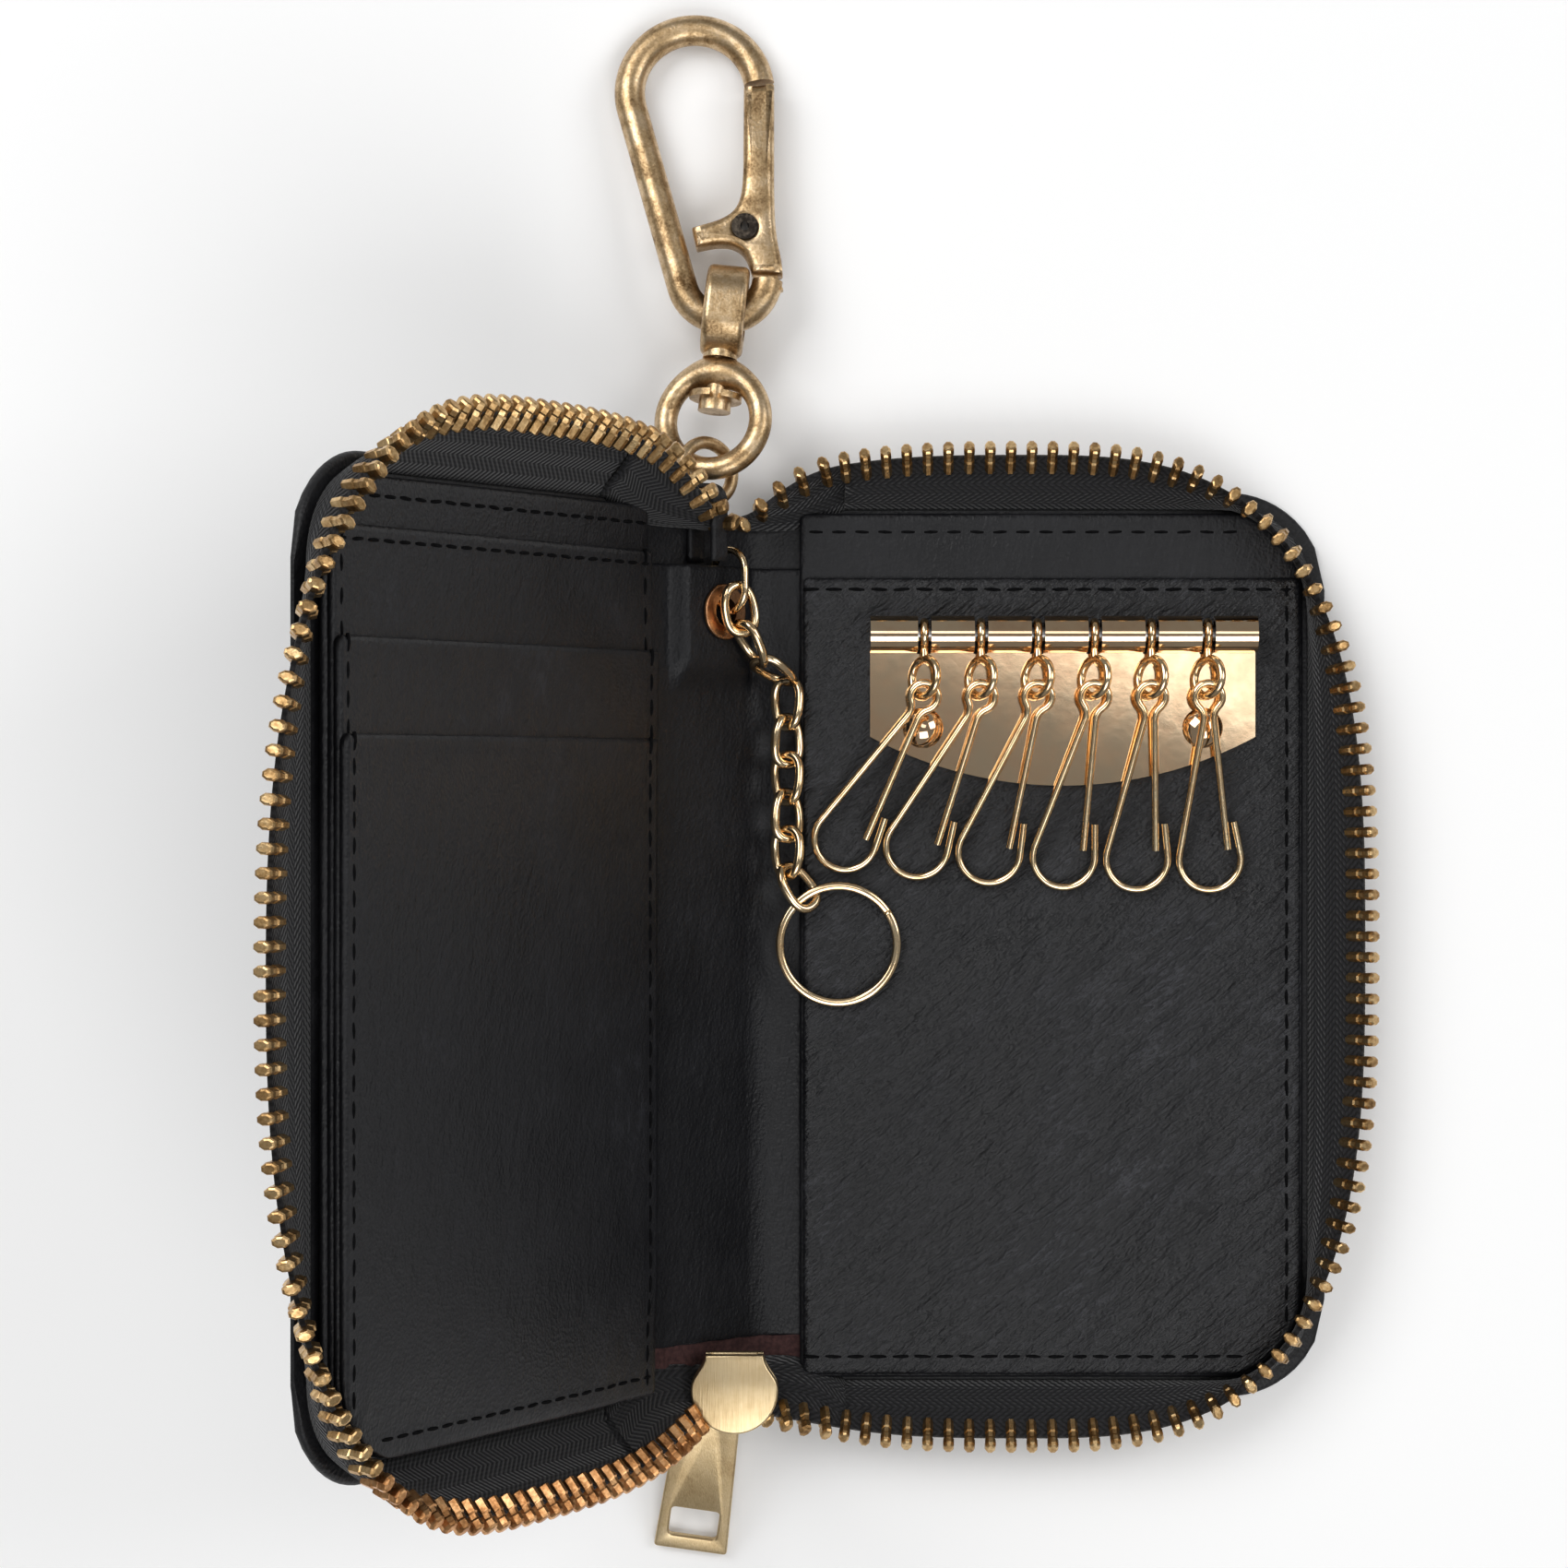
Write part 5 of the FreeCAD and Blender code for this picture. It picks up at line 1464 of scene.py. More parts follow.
# Zip
@dataclass
class ZipHalf:
    """One page's half of the zip: bowed path, cloth tape and the edges that its teeth follow."""

    page: str
    fold: Fold
    frame: Matrix
    sign: float
    spread_free: float
    spread_ends: float
    dip: float
    foot_level: float
    top_level: float
    centre: float = 33.25
    reach_fold: float = 57.0
    power: float = 3.0
    stop: float = 11.0
    root_inset: float = 2.0
    root_corner: float = 10.0
    tuck: float = 1.4
    bow: float = 0.5
    thickness: float = 0.55
    rows: int = 7
    rail_steps: int = 150
    path_steps: int = 1200
    end_points: int = 20
    tip_pull: float = 0.45
    tip_back: float = 0.25
    root_pull: float = 0.4

    def path_point(self, angle: float) -> Place:
        """Give the plan place of the teeth's line.

        Args:
            angle: Angle round the page, with 0 at the free edge.

        Returns:
            The distance from the fold and the place along it.
        """
        across = abs(math.cos(angle)) ** (2 / self.power)
        along = abs(math.sin(angle)) ** (2 / self.power)
        free = SIZES.cover_width - self.centre + self.spread_free
        reach = free if math.cos(angle) > 0 else -self.reach_fold
        high = SIZES.cover_height / 2 + self.spread_ends
        return self.centre + reach * across, math.copysign(high * along, angle)

    def root_point(self, u: float, v: float) -> Place:
        """Give the place on the cover where the tape under a path point is sewn.

        Args:
            u: Distance from the fold.
            v: Place along the fold.

        Returns:
            The sewn place.
        """
        inset = self.root_inset + self.root_corner
        limit = SIZES.cover_height / 2 - inset
        core = Vector((min(u, SIZES.cover_width - inset), max(-limit, min(limit, v))))
        out = (Vector((u, v)) - core).normalized()
        return tuple(core + out * self.root_corner)

    def level(self, u: float, v: float) -> float:
        """Give the height of the tape's upper edge, which dips along the free edge.

        Args:
            u: Distance from the fold.
            v: Place along the fold.

        Returns:
            The height above the page.
        """
        share = max(0.0, (u - self.centre) / (SIZES.cover_width - self.centre + self.spread_free)) ** 3
        high = SIZES.cover_height / 2 + self.spread_ends
        return self.top_level - self.dip * share * (1 - (v / high) ** 2)

    def world(self, u: float, v: float, level: float) -> Vector:
        """Turn a page's plan place and height into the model's frame."""
        x = u - SIZES.cover_width / 2 if self.sign > 0 else -u
        return self.frame @ Vector((x, v, level))

    def rails(self) -> Edges:
        """Give both edges of the tape between its two ends, in even steps.

        Returns:
            The upper and the sewn edge.
        """
        start = math.acos(-((self.centre - self.stop) / self.reach_fold) ** (self.power / 2))
        dense = [self.path_point(start - 2 * start * number / self.path_steps)
                 for number in range(self.path_steps + 1)]
        reach = [0.0]
        for near, far in zip(dense, dense[1:]):
            reach.append(reach[-1] + math.dist(near, far))
        upper, lower = [], []
        index = 0
        for number in range(self.rail_steps + 1):
            goal = reach[-1] * number / self.rail_steps
            while index < len(reach) - 2 and reach[index + 1] < goal:
                index += 1
            part = (goal - reach[index]) / (reach[index + 1] - reach[index])
            near, far = dense[index], dense[index + 1]
            u, v = near[0] + (far[0] - near[0]) * part, near[1] + (far[1] - near[1]) * part
            upper.append(self.world(u, v, self.level(u, v)))
            lower.append(self.world(*self.root_point(u, v), self.foot_level))
        return upper, lower

    def ends(self, targets: Sequence[tuple[Vector, Vector]]) -> list[Edges]:
        """Carry both ends of the tape over the fold.

        Args:
            targets: For the upper and the lower end, where the teeth and the sewn edge finish.

        Returns:
            The upper and the sewn edge of each end.
        """
        upper, lower = self.rails()
        result = []
        for (tip, foot), first, second in ((targets[0], 0, 1), (targets[1], -1, -2)):
            way = (upper[first] - upper[second]).normalized()
            gap = (tip - upper[first]).length
            top = bezier([upper[first], upper[first] + way * gap * self.tip_pull,
                          tip.lerp(upper[first], self.tip_back), tip], self.end_points)
            root_way = (lower[first] - lower[second]).normalized()
            root = bezier([lower[first], lower[first] + root_way * gap * self.root_pull, foot],
                          self.end_points)
            for number, (edge, sewn) in enumerate(zip(top, root)):
                tuck = self.tuck * math.sin(math.pi * number / (len(root) - 1))
                inwards = Vector((0, -math.copysign(1, sewn.y), 0))
                root[number] = sewn + ((sewn - edge).normalized() + inwards) * tuck
            result.append(([upper[second], *top], [lower[second], *root]))
        return result

    def ribbon(self, name: str, edges: Edges, material: Finish) -> Piece:
        """Make the cloth between a tape's two edges, bowed a little outwards.

        Args:
            name: Name of the new piece.
            edges: The upper and the sewn edge.
            material: Finish of the cloth.

        Returns:
            The new piece.
        """
        upper, lower = edges
        front, back, uvs = [], [], []
        run = 0.0
        for number, (top, root) in enumerate(zip(upper, lower)):
            run += (top - upper[number - 1]).length if number else 0.0
            after = upper[min(number + 1, len(upper) - 1)]
            before = upper[max(number - 1, 0)]
            out = (after - before).cross(top - root).normalized()
            for row in range(self.rows):
                share = row / (self.rows - 1)
                middle = root.lerp(top, share) + out * (self.bow * math.sin(math.pi * share))
                front.append(middle + out * (self.thickness / 2))
                back.append(middle - out * (self.thickness / 2))
                uvs.append((run * MM, (top - root).length * share * MM))
        piece = new_piece(name, front + back, sandwich(len(upper), self.rows), material, uvs=uvs * 2)
        recalculate(piece)
        return piece


def edges_after(edges: Edges, reach: float) -> Edges:
    """Give the part of a tape's edges that starts at a distance along them.

    Args:
        edges: The upper and the sewn edge.
        reach: Distance to leave out along the upper edge.

    Returns:
        The rest of both edges.
    """
    top = edges[0]
    run = 0.0
    for number in range(1, len(top)):
        step = (top[number] - top[number - 1]).length
        if run + step > reach:
            share = (reach - run) / step
            return tuple([line[number - 1].lerp(line[number], share), *line[number:]] for line in edges)
        run += step
    return edges


@dataclass
class Zip:
    """The whole zip: two bowed halves whose ends run over the folds to the spine."""

    finishes: Finishes
    rows: CopyRow
    pitch: float = 2.54
    lean: float = 2.0
    end_split: float = 1.3
    upper_tip: Place = (51.6, 5.2)
    upper_foot: Place = (51.2, 0.8)
    lower_foot: Place = (-51.0, 0.8)
    slider_mouth: Point = (-37.7, -56.4, 11.4)
    slider_split: float = 3.6
    copper_below: float = -52.0
    tooth_sides: int = 8
    tooth_swell: float = 1.08
    tooth_profile: tuple[Point, ...] = (
        (-2.0, 0.56, 1.02), (-1.86, 0.64, 1.16), (-0.3, 0.64, 1.16), (-0.1, 0.6, 0.98), (0.5, 0.58, 0.9),
        (0.75, 0.66, 1.0), (1.45, 0.66, 1.0), (1.72, 0.56, 0.86), (1.82, 0.38, 0.62))

    def halves(self) -> list[ZipHalf]:
        """Give the half on the back page and the half on the front page."""
        return [ZipHalf("back", Fold.BACK, SIZES.back_frame(), 1, spread_free=4.0, spread_ends=4.0, dip=0.0,
                        foot_level=1.2, top_level=7.2),
                ZipHalf("front", Fold.FRONT, SIZES.front_frame(), -1, spread_free=7.5, spread_ends=5.5,
                        dip=4.0, foot_level=0.6, top_level=6.6)]

    def targets(self, half: ZipHalf) -> list[tuple[Vector, Vector]]:
        """Give where a half's teeth and sewn edge finish, at the top of the spine and at the slider.

        Args:
            half: Half of the zip.

        Returns:
            The teeth's end and the sewn end, for the upper end and for the lower one.
        """
        spine = SIZES.spine_frame()
        x = -SIZES.spine_width / 2 + self.end_split * half.sign
        tip, foot, low = (spine @ Vector((x, *place))
                          for place in (self.upper_tip, self.upper_foot, self.lower_foot))
        mouth_x, mouth_y, mouth_z = self.slider_mouth
        slider = Vector((mouth_x + self.slider_split * half.sign, mouth_y, mouth_z))
        return [(tip, foot), (slider, low)]

    def tooth(self) -> Piece:
        """Make one tooth: a clamped foot over the cord, a waist and a rounded head.

        Returns:
            The tooth.
        """
        sides = self.tooth_sides
        points = []
        for level, long, wide in self.tooth_profile:
            for corner in range(sides):
                angle = math.pi / sides + corner * math.pi / (sides / 2)
                points.append(Vector((long * self.tooth_swell * math.cos(angle),
                                      wide * self.tooth_swell * math.sin(angle), level)))
        faces = grid_faces(len(self.tooth_profile), sides, ring=True)
        faces.append(tuple(reversed(range(sides))))
        faces.append(tuple(range(len(points) - sides, len(points))))
        return new_piece("one_tooth", points, faces, self.finishes.teeth, smooth=False)

    def set_teeth(self, name: str, edges: Edges, copy: Piece, finish: Finish) -> Piece:
        """Set a row of teeth on a tape's upper edge.

        Args:
            name: Name of the new piece.
            edges: The tape's upper and sewn edge.
            copy: One tooth.
            finish: Finish of the teeth.

        Returns:
            The new piece.
        """
        ways = [(top - root).normalized() for top, root in zip(*edges)]
        piece = self.rows.lay(name, [(edges[0], ways)], copy, self.pitch, finish, self.lean)
        return piece

    def main_rows(self, half: ZipHalf, edges: Edges) -> list[tuple[str, Edges, Finish]]:
        """Give the rows of teeth on a page: the front page's lower row is copper.

        Args:
            half: Half of the zip.
            edges: The tape's upper and sewn edge.

        Returns:
            For each row the end of its name, its edges and its finish.
        """
        if half.fold is Fold.BACK:
            return [("", edges, self.finishes.teeth)]
        upper, lower = edges
        cut = next(number for number, point in enumerate(upper) if point.y < self.copper_below)
        rest = edges_after((upper[cut:], lower[cut:]), self.pitch)
        return [("", (upper[:cut + 1], lower[:cut + 1]), self.finishes.teeth),
                ("_lower", rest, self.finishes.copper_teeth)]

    def build_half(self, half: ZipHalf, copy: Piece) -> None:
        """Make one half's tape, teeth and ends.

        Args:
            half: Half of the zip.
            copy: One tooth.
        """
        body = half.fold.value[0]
        edges = half.rails()
        tape = half.ribbon(half.page + "_zip_tape", edges, self.finishes.tape)
        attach(tape, body.value)
        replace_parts(tape, "zip_tape_" + half.page)
        for suffix, row, finish in self.main_rows(half, edges):
            teeth = self.set_teeth(half.page + "_zip_teeth" + suffix, row, copy, finish)
            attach(teeth, body.value)
            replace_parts(teeth, "zip_teeth_" + half.page)
        for place, end in zip(("upper", "lower"), half.ends(self.targets(half))):
            name = half.page + "_" + place + "_zip_end"
            coppery = place == "lower" and half.page == "front"
            finish = self.finishes.copper_teeth if coppery else self.finishes.teeth
            top = end[0]
            row = edges_after(end, (top[1] - top[0]).length + self.pitch)
            for piece in (half.ribbon(name + "_tape", end, self.finishes.tape),
                          self.set_teeth(name + "_teeth", row, copy, finish)):
                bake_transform(piece)
                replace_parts(piece, "zip_tape_ends_" + half.page)

    def build(self) -> None:
        """Make both halves."""
        copy = self.tooth()
        for half in self.halves():
            self.build_half(half, copy)
        bpy.data.objects.remove(copy)


# Slider, pull tab and strap loop
@dataclass
class Slider:
    """Zip slider over the lower end of the spine, with its pull tab and the cloth under it."""

    finishes: Finishes
    place: Point = (-37.7, -53.9, 9.4985)
    neck: float = 3.5
    half: float = 5.3
    length: float = 9.6
    flare: float = 0.25
    flare_start: float = 2.0
    flare_end: float = 2.6
    flare_points: int = 12
    rim_steps: int = 28
    sheet: float = 1.0
    throat: float = 1.9
    upper_edge: float = 0.3
    lower_edge: float = 0.25
    lip_span: float = 2.6
    lip_end: float = -2.5
    lip_width: float = 0.7
    lip_depth: float = 0.5
    lip_edge: float = 0.12
    sunk: float = 0.1
    post_radius: float = 1.2
    post_edge: float = 0.05
    bridge_x: float = -2.8
    bridge_line: tuple[Place, ...] = ((0.7, 0.1), (0.7, -1.8), (0.5, -2.3), (0.0, -2.5), (-1.8, -2.5),
                                      (-2.3, -2.3), (-2.5, -1.8), (-2.5, 0.1))
    bridge_radius: float = 0.6
    bridge_sides: int = 10
    pull_hinge: Point = (-40.5, -54.8, 8.5485)
    pull_slope: float = 21.5249
    pull_lean: float = 8.0
    pull_thickness: float = 1.0
    pull_edge: float = 0.26
    # Half widths at top and foot, levels of top and foot, and corner, of the rim, the slot and the window
    pull_outlines: tuple[tuple[float, ...], ...] = (
        (3.7, 4.55, 0.6, -21.8, 0.5), (1.2, 1.2, -0.6, -3.8, 0.7), (3.0, 3.0, -15.9, -19.9, 0.6))
    cloth_start: float = 6.0
    cloth_ends: Place = (-51.9, -46.8)
    cloth_gap: float = 0.22
    cloth_wave: float = 0.12
    cloth_turn: float = 1.4
    cloth_thickness: float = 0.3
    cloth_step: float = 0.8

    def outline(self) -> list[Place]:
        """Give the plan of a slider plate: a narrow head that widens to a round end.

        Returns:
            The points of the outline.
        """
        centre = self.half - self.length / 2
        top = self.length / 2
        corners = ((self.neck, top), (self.neck + self.flare, top - self.flare_start),
                   (self.half, top - self.flare_end), (self.half, centre))
        side = [(point.x, point.y)
                for point in bezier([Vector(corner) for corner in corners], self.flare_points)]
        angles = [math.pi * number / self.rim_steps for number in range(1, self.rim_steps)]
        rim = [(self.half * math.cos(angle), centre - self.half * math.sin(angle)) for angle in angles]
        return side + rim + [(-x, y) for x, y in reversed(side)]

    def flange(self, side: float, low: float, high: float) -> Piece:
        """Make the lip along one side of a plate that keeps the teeth in.

        Args:
            side: -1 for the left lip and 1 for the right one.
            low: Level of its lower face.
            high: Level of its upper face.

        Returns:
            The lip.
        """
        rim = [point for point in self.outline()
               if point[0] * side > self.half - self.lip_span and point[1] > self.lip_end]
        rim.sort(key=lambda point: point[1])
        inner = [(x - side * self.lip_width, y) for x, y in reversed(rim)]
        return plate("lip", [rim + inner], low, high, self.lip_edge, self.finishes.brushed)

    def build_slider(self) -> None:
        """Make the plates, lips, post and bridge as one piece."""
        brass = self.finishes.brushed
        top = self.sheet + self.throat
        parts = [plate("upper", [self.outline()], top, top + self.sheet, self.upper_edge, brass),
                 plate("lower", [self.outline()], 0, self.sheet, self.lower_edge, brass)]
        for side in (-1, 1):
            parts.append(self.flange(side, self.sheet - self.sunk, self.sheet + self.lip_depth))
            parts.append(self.flange(side, top - self.lip_depth, top + self.sunk))
        parts.append(plate("post", [circle(self.post_radius)], self.sheet - self.sunk, top + self.sunk,
                           self.post_edge, brass))
        bow = [Vector((self.bridge_x, y, z)) for y, z in self.bridge_line]
        points, faces = tube(bow, self.bridge_radius, self.bridge_sides, up=RIGHT)
        parts.append(new_piece("bridge", points, faces, brass))
        piece = join("slider_body", parts)
        piece.data.transform(Matrix.Translation(Vector(self.place) * MM))
        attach(piece, Body.SPINE.value)
        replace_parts(piece, "zip_slider")

    def build_pull(self) -> None:
        """Make the pull tab with its slot and its window."""
        outlines = [round_corners(trapezium(*sizes), corner) for *sizes, corner in self.pull_outlines]
        half = self.pull_thickness / 2
        piece = plate("pull_tab", outlines, -half, half, self.pull_edge, self.finishes.brushed)
        turn = Matrix.Rotation(math.radians(-self.pull_lean), 4, "Z")
        turn = turn @ Matrix.Rotation(math.radians(self.pull_slope), 4, "X")
        piece.data.transform(Matrix.Translation(Vector(self.pull_hinge) * MM) @ turn)
        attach(piece, Body.PULL.value)
        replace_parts(piece, "zip_pull_tab")

    def cloth_lift(self, mark: float, y: float) -> float:
        """Give the cloth's height over the leather's middle, with a low wave."""
        ripple = self.cloth_wave * math.sin(self.cloth_turn * mark + y)
        return SIZES.leather / 2 + self.cloth_gap + ripple

    def build_cloth(self) -> None:
        """Make the cloth lining that shows on both sides of the slider, below the spine's lining."""
        for fold, page in PAGES:
            piece = folded_sheet(page + "_maroon_cloth", FoldPath(fold), self.cloth_start,
                                 lambda mark: self.cloth_ends, self.cloth_lift, self.cloth_thickness,
                                 self.finishes.maroon, self.cloth_step)
            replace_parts(piece, "zip_tail")

    def build(self) -> None:
        """Make the slider, the pull tab and the cloth."""
        self.build_slider()
        self.build_pull()
        self.build_cloth()


@dataclass
class StrapLoop:
    """Leather loop at the top of the spine that holds the jump ring."""

    finishes: Finishes
    offset: float = -11.2
    half_width: float = 1.3
    start: float = 46.9
    axis: float = 54.0
    radius: float = 2.05
    level: float = 3.05
    thickness: float = 0.8
    run_steps: int = 8
    bend_steps: int = 16
    width_step: float = 0.5
    width_edges: tuple[float, ...] = (0.1, 0.25, 0.5)
    rim_reach: float = 0.4

    def middle_line(self) -> list[Vector]:
        """Give the strap's centre line, from the lower layer round the ring and back.

        Returns:
            Points in the spine's frame.
        """
        run = self.axis - self.start
        line = [Vector((0, self.start + run * step / self.run_steps, -self.radius))
                for step in range(self.run_steps)]
        for step in range(self.bend_steps + 1):
            angle = math.radians(-90 + 180 * step / self.bend_steps)
            y = self.axis + self.radius * math.cos(angle)
            line.append(Vector((0, y, self.radius * math.sin(angle))))
        return line + [Vector((0, self.axis - run * step / self.run_steps, self.radius))
                       for step in range(1, self.run_steps + 1)]

    def build(self) -> None:
        """Make the strap."""
        frame = SIZES.spine_frame() @ Matrix.Translation(Vector((self.offset, 0, self.level)))
        line = self.middle_line()
        places = spread(2 * self.half_width, self.width_step, self.width_edges)
        upper, lower = [], []
        for number, middle in enumerate(line):
            way = (line[min(number + 1, len(line) - 1)] - line[max(number - 1, 0)]).normalized()
            out = way.cross(RIGHT).normalized() * -1
            for place in places:
                rim = edge_fullness(min(place, 2 * self.half_width - place), self.rim_reach)
                point = middle + Vector((place - self.half_width, 0, 0))
                upper.append(frame @ (point + out * (self.thickness / 2 * rim)))
                lower.append(frame @ (point - out * (self.thickness / 2 * rim)))
        piece = new_piece("strap_leather", upper + lower, sandwich(len(line), len(places)),
                          self.finishes.cover)
        recalculate(piece)
        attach(piece, Body.SPINE.value)
        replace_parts(piece, "strap_loop")


# Key ring, chain and snap hook
@dataclass
class SplitRing:
    """Key ring of two flat turns of wire that lie on each other."""

    finishes: Finishes
    centre: Point = (-25.0193, 0.1869, 4.7848)
    way: Point = (-0.57358, 0.81915, 0)
    tilt: float = 4.2597
    radius: float = 7.2
    wire: float = 1.0
    squash: float = 0.48
    first_angle: float = 0.6
    rise: float = 0.25
    crossing: Place = (0.9, 1.1)
    steps: int = 192
    sides: int = 12

    def build(self) -> None:
        """Make the ring."""
        path = []
        for step in range(self.steps + 1):
            turn = 2 * step / self.steps
            angle = 2 * math.pi * turn + self.first_angle
            rise = self.wire * self.rise * (2 * smooth_step(*self.crossing, turn) - 1)
            path.append(Vector((self.radius * math.cos(angle), self.radius * math.sin(angle), rise)))
        points, faces = tube(path, self.wire / 2, self.sides, squash=self.squash)
        axis = Vector(self.way).cross(UP)
        frame = Matrix.Translation(Vector(self.centre)) @ Matrix.Rotation(math.radians(self.tilt), 4, axis)
        piece = new_piece("two_turn_ring", [frame @ point for point in points], faces, self.finishes.wire)
        recalculate(piece)
        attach(piece, Body.RING.value)
        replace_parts(piece, "split_ring")


@dataclass(frozen=True)
class LinkPlace:
    """Where a chain link lies: its middle, the way along it and its roll about that way in degrees."""

    middle: Point
    along: Point
    roll: float


@dataclass
class Chain:
    """Round links of twisted wire, and one link that joins the spine's links to the back page's."""

    finishes: Finishes
    length: float = 7.0
    width: float = 4.9
    wire: float = 1.12
    fullness: float = 2.4
    twist: float = 0.22
    sides: int = 12
    steps: int = 48
    places: tuple[LinkPlace, ...] = (
        LinkPlace((-37.079, 41.151, 10.419), (-0.183, 0.966, 0.183), 20),
        LinkPlace((-35.725, 37.045, 9.065), (-0.406, 0.819, 0.406), -62),
        LinkPlace((-31.3, 29.8, 4.65), (0, 1, 0), -38),
        LinkPlace((-31.3, 25.2, 4.65), (0, 1, 0), 38),
        LinkPlace((-31.3, 20.6, 4.65), (0, 1, 0), -38),
        LinkPlace((-31.3, 16.028, 5.0), (0, 0.988, -0.156), 38),
        LinkPlace((-31.3, 11.457, 5.35), (0, 1, 0), -38),
        LinkPlace((-29.981, 7.273, 5.35), (-0.574, 0.819, 0), 38),
    )
    join_first: Point = (-34.5, 34.9, 7.75)
    join_last: Point = (-31.3, 32.6, 4.7)
    join_roll: float = 60.0

    def link(self, name: str, place: LinkPlace) -> Piece:
        """Make one link.

        Args:
            name: Name of the new piece.
            place: Where the link lies.

        Returns:
            The link as a mesh object.
        """
        along = Vector(place.along).normalized()
        side = along.cross(UP).normalized()
        side.rotate(Matrix.Rotation(math.radians(place.roll), 3, along))
        out = along.cross(side)
        path = []
        for number in range(self.steps):
            angle = 2 * math.pi * (number + 0.5) / self.steps
            reach = math.copysign(abs(math.cos(angle)) ** (2 / self.fullness), math.cos(angle))
            span = math.copysign(abs(math.sin(angle)) ** (2 / self.fullness), math.sin(angle))
            point = Vector(place.middle) + along * (reach * (self.length - self.wire) / 2)
            point = point + side * (span * (self.width - self.wire) / 2)
            path.append(point + out * (self.twist * math.sin(2 * angle)))
        points, faces = tube(path, self.wire / 2, self.sides, closed=True, up=out)
        piece = new_piece(name, points, faces, self.finishes.wire)
        recalculate(piece)
        return piece

    def build(self) -> None:
        """Make every link."""
        for number, place in enumerate(self.places, start=1):
            node = "chain_link_%d" % number
            piece = self.link("round_link_%d" % number, place)
            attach(piece, node)
            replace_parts(piece, node)
        first, last = Vector(self.join_first), Vector(self.join_last)
        place = LinkPlace(tuple((first + last) / 2), tuple(last - first), self.join_roll)
        piece = self.link("chain_joining_link", place)
        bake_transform(piece)


@dataclass
class SnapHook:
    """Cast pieces of the snap hook: a flat gate with a thumb spur, and a ring with a swollen top."""

    finishes: Finishes
    hook_place: Point = (-39.006, 76.7684, 7.4294)
    hook_turn: tuple[float, ...] = (0.99743, -0.07172, 0, 0)
    bar: float = 3.75
    gate_edge: float = 1.0
    gate_corner: float = 1.0
    gate_plan: tuple[Point, ...] = (
        (3.45, 5.35, 0.1), (7.15, 5.3, 0.1), (7.0, 7.2, 1.5), (6.5, 9.4, 1.5), (6.2, 12.0, 2),
        (6.1, 16.0, 2), (6.1, 29.35, 0.1), (2.37, 29.0, 0.1), (2.3, 17.5, 2), (2.0, 14.9, 1.5),
        (1.1, 13.2, 1.2), (-0.6, 12.2, 1.2), (-4.0, 11.2, 0.25), (-3.4, 8.6, 0.25), (-0.8, 9.15, 1.2),
        (1.1, 9.0, 1.2), (2.6, 7.9, 1.2))
    rivet_radius: float = 1.05
    rivet_place: Place = (2.5, 11.1)
    ring_place: Point = (-41.0129, 57.87, 10.1612)
    ring_turn: tuple[float, ...] = (0.98705, -0.07782, -0.13373, -0.04241)
    ring_offset: float = 6.4
    ring_radius: float = 6.0
    ring_wire: float = 2.8
    ring_steps: int = 96
    ring_sides: int = 20
    boss: float = 0.5
    boss_width: float = 0.5

    def build_gate(self) -> None:
        """Make the gate from its plan in the hook's own frame."""
        outlines = [round_corners(self.gate_plan, self.gate_corner),
                    circle(self.rivet_radius, self.rivet_place)]
        piece = plate("gate_casting", outlines, -self.bar / 2, self.bar / 2, self.gate_edge,
                      self.finishes.antique)
        turn = Quaternion(self.hook_turn).to_matrix().to_4x4()
        piece.data.transform(Matrix.Translation(Vector(self.hook_place) * MM) @ turn)
        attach(piece, Body.GATE.value)
        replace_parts(piece, "hook_gate")

    def build_ring(self) -> None:
        """Make the swivel ring, whose wire swells to a boss round the post."""
        path, swell = [], []
        for number in range(self.ring_steps):
            angle = 2 * math.pi * number / self.ring_steps
            y = self.ring_offset + self.ring_radius * math.sin(angle)
            path.append(Vector((self.ring_radius * math.cos(angle), y, 0)))
            swell.append(1 + self.boss * hump(angle - math.pi / 2, self.boss_width))
        points, faces = tube(path, self.ring_wire / 2, self.ring_sides, closed=True, swell=swell)
        turn = Quaternion(self.ring_turn).to_matrix().to_4x4()
        frame = Matrix.Translation(Vector(self.ring_place)) @ turn
        piece = new_piece("swivel_casting", [frame @ point for point in points], faces,
                          self.finishes.antique)
        recalculate(piece)
        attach(piece, Body.SWIVEL.value)
        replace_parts(piece, "swivel_ring")

    def build(self) -> None:
        """Make both castings."""
        self.build_gate()
        self.build_ring()


# Packed metal pieces
@dataclass
class PackedMetal:
    """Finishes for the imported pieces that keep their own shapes."""

    finishes: Finishes
    nodes: dict[str, Piece]

    def finish_of(self, name: str) -> Finish:
        """Choose a finish by the start of a node's name, or antique brass.

        Args:
            name: Name of the node.

        Returns:
            Its finish.
        """
        finishes = self.finishes
        # The gate rivet gets the near-black finish, painted shade for its hollow
        starts = (("gate_rivet", finishes.painted_rivet_shade), ("gate_spring", finishes.steel),
                  ("key_rod", finishes.steel), ("key_plate", finishes.gold), ("key_rivets", finishes.gold),
                  ("key_", finishes.wire), ("anchor", finishes.wire), ("eyelet", finishes.copper),
                  ("back_board", finishes.board), ("front_board", finishes.board))
        return next((material for start, material in starts if name.startswith(start)), finishes.antique)

    def build(self) -> None:
        """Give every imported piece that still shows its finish."""
        for name, node in self.nodes.items():
            if not node.hide_render:
                node.data.materials.clear()
                node.data.materials.append(self.finish_of(name))
                log.info("packed piece %s", name)


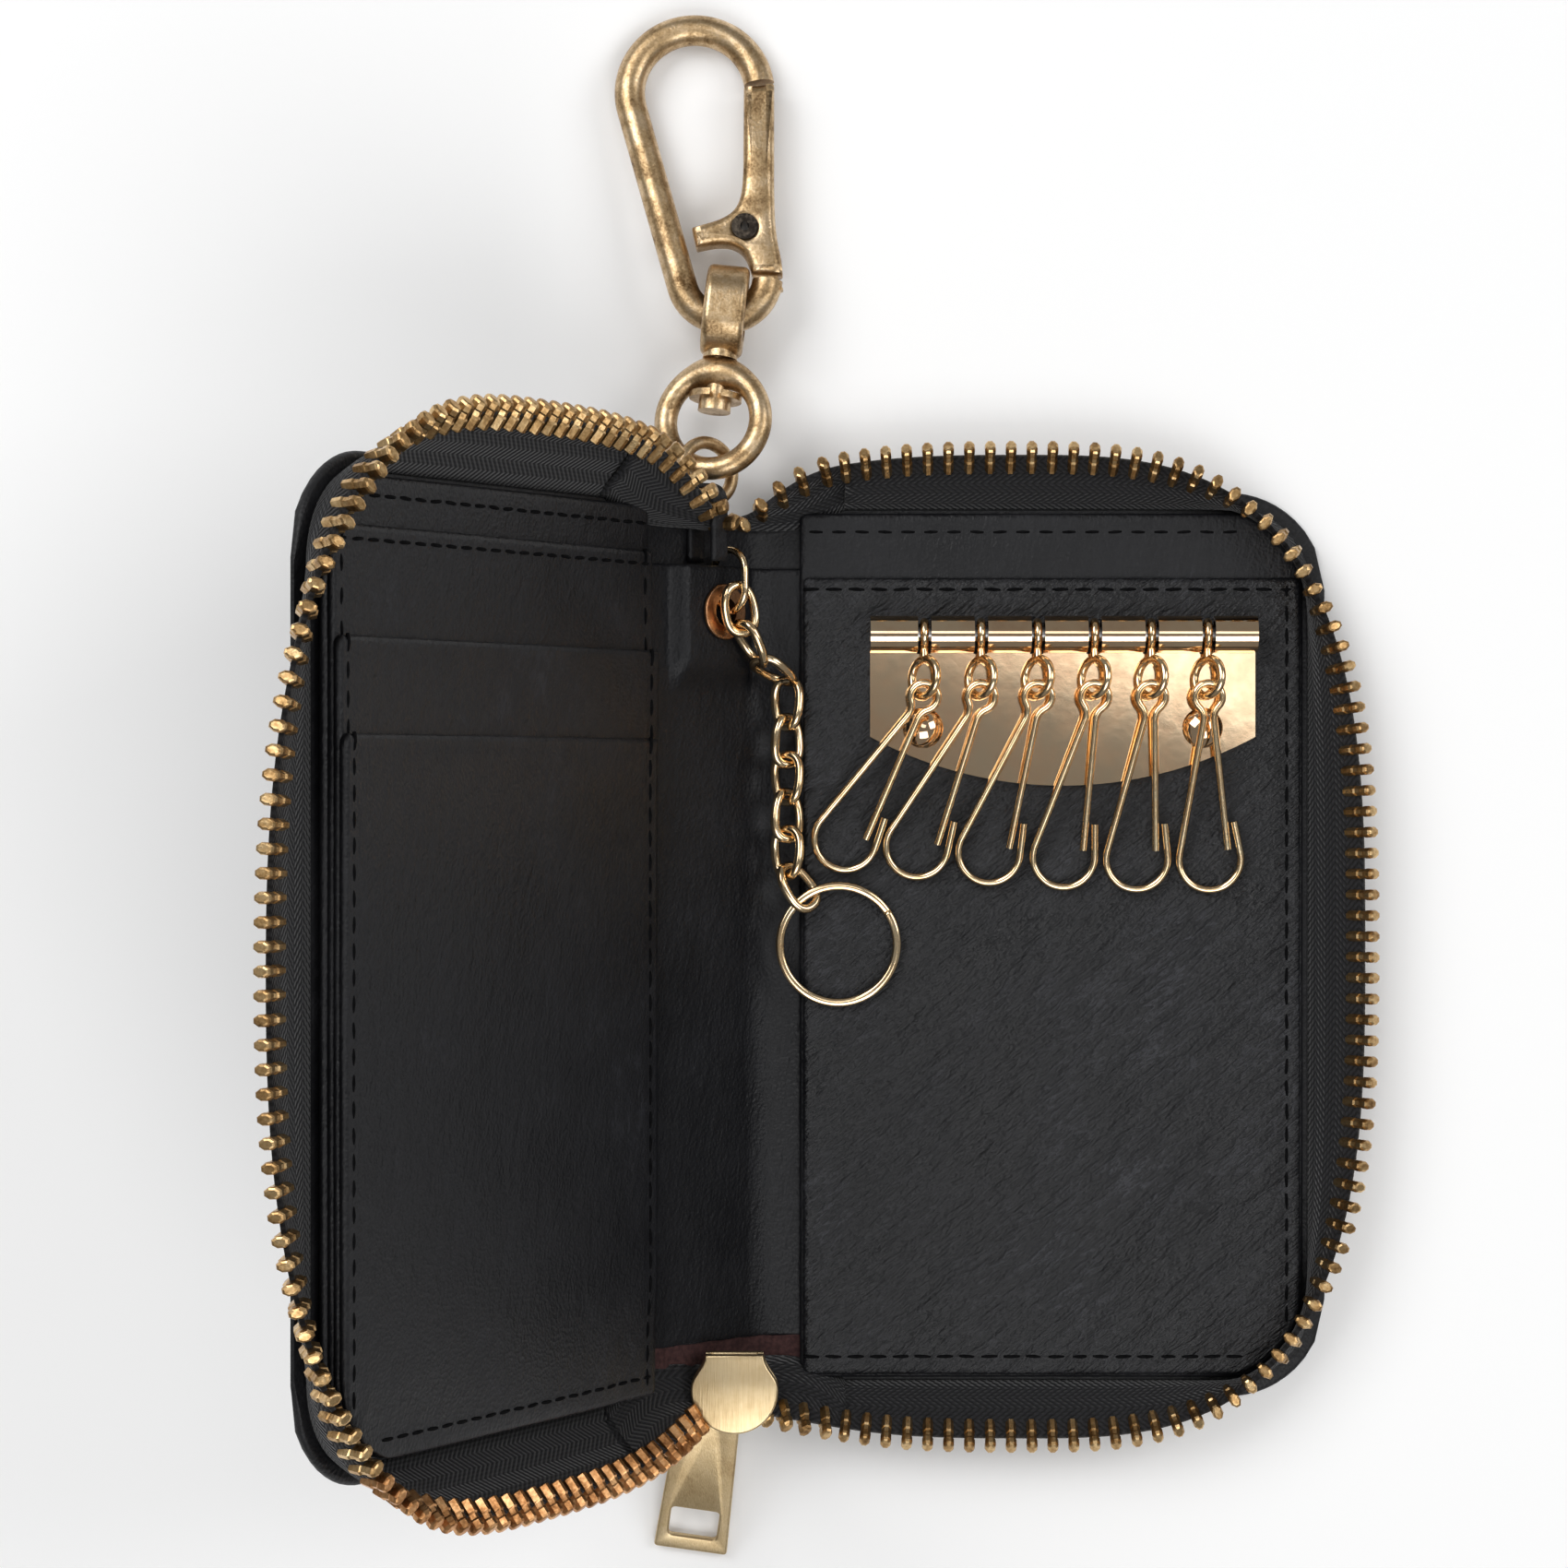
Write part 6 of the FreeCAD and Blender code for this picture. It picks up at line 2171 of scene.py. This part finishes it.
# Floor in millimetres, light and camera in metres
@dataclass(frozen=True)
class Lamp:
    """Flat lamp that points at the case."""

    name: str
    place: Point
    size: Place
    power: float

    def hang(self, target: Vector) -> None:
        """Hang the lamp.

        Args:
            target: Place that it points at.
        """
        light = bpy.data.lights.new(self.name, "AREA")
        light.shape = "RECTANGLE"
        light.size, light.size_y = self.size
        light.energy = self.power
        holder = add(self.name, light)
        place = Vector(self.place)
        holder.location = place
        holder.rotation_euler = (target - place).to_track_quat("-Z", "Y").to_euler()


@dataclass
class Studio:
    """Pale floor, soft lamps and the camera straight above."""

    floor: Colour = (0.94, 0.94, 0.94)
    floor_half: float = 2500.0
    floor_rough: float = 0.9
    floor_specular: float = 0.1
    world_level: float = 0.2
    target: Point = (-0.03, 0, 0)
    lamps: tuple[Lamp, ...] = (
        Lamp("window_lamp", (-0.5, 0.45, 0.7), (0.6, 0.6), 5.0),
        Lamp("front_lamp", (0.05, -0.48, 0.8), (0.6, 0.5), 3.4),
        Lamp("side_lamp", (0.55, 0.2, 0.6), (0.4, 0.4), 1.8),
        Lamp("upper_lamp", (0.03, 0.175, 0.9), (0.34, 0.2), 0.36),
    )
    eye: Point = (-0.0317, 0.0199, 0.5036)
    half_view: float = 0.0966
    view_distance: float = 0.5
    clip_start: float = 0.01

    def build_floor(self) -> None:
        """Lay the floor under the case."""
        half = self.floor_half
        points = [Vector((x * half, y * half, 0)) for x, y in ((-1, -1), (1, -1), (1, 1), (-1, 1))]
        shader = Shader("pale_floor", specular=self.floor_specular)
        shader.surface.inputs["Base Color"].default_value = (*self.floor, 1)
        shader.surface.inputs["Roughness"].default_value = self.floor_rough
        new_piece("floor", points, [(0, 1, 2, 3)], shader.material, smooth=False)

    def build_light(self) -> None:
        """Set the world's grey light and hang the lamps."""
        world = bpy.data.worlds.new("soft_grey")
        world.use_nodes = True
        background = world.node_tree.nodes["Background"]
        background.inputs["Color"].default_value = (1, 1, 1, 1)
        background.inputs["Strength"].default_value = self.world_level
        bpy.context.scene.world = world
        for lamp in self.lamps:
            lamp.hang(Vector(self.target))

    def build_camera(self) -> None:
        """Set the camera straight above and the plain view."""
        camera = bpy.data.cameras.new("camera")
        camera.angle = 2 * math.atan(self.half_view / self.view_distance)
        camera.clip_start = self.clip_start
        holder = add("camera", camera)
        holder.location = self.eye
        bpy.context.scene.camera = holder
        bpy.context.scene.view_settings.view_transform = "Standard"

    def build(self) -> None:
        """Set up everything round the case."""
        self.build_floor()
        self.build_light()
        self.build_camera()


def main() -> None:
    """Make every piece of the case in order, then its stage, and log the names of the new objects."""
    logging.basicConfig(level=logging.INFO)
    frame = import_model()
    finishes = Finishes()
    rows = CopyRow()
    stitches = Stitches(rows, finishes)
    for assembly in (Covers(finishes), BackPage(finishes, stitches), FrontPage(finishes, stitches),
                     Zip(finishes, rows), Slider(finishes), StrapLoop(finishes), SplitRing(finishes),
                     Chain(finishes), SnapHook(finishes), PackedMetal(finishes, frame["nodes"]), Studio()):
        before = set(bpy.data.objects.keys())
        assembly.build()
        for name in bpy.data.objects.keys():
            if name not in before:
                log.info("%s: %s", type(assembly).__name__, name)


if __name__ == "__main__":
    main()
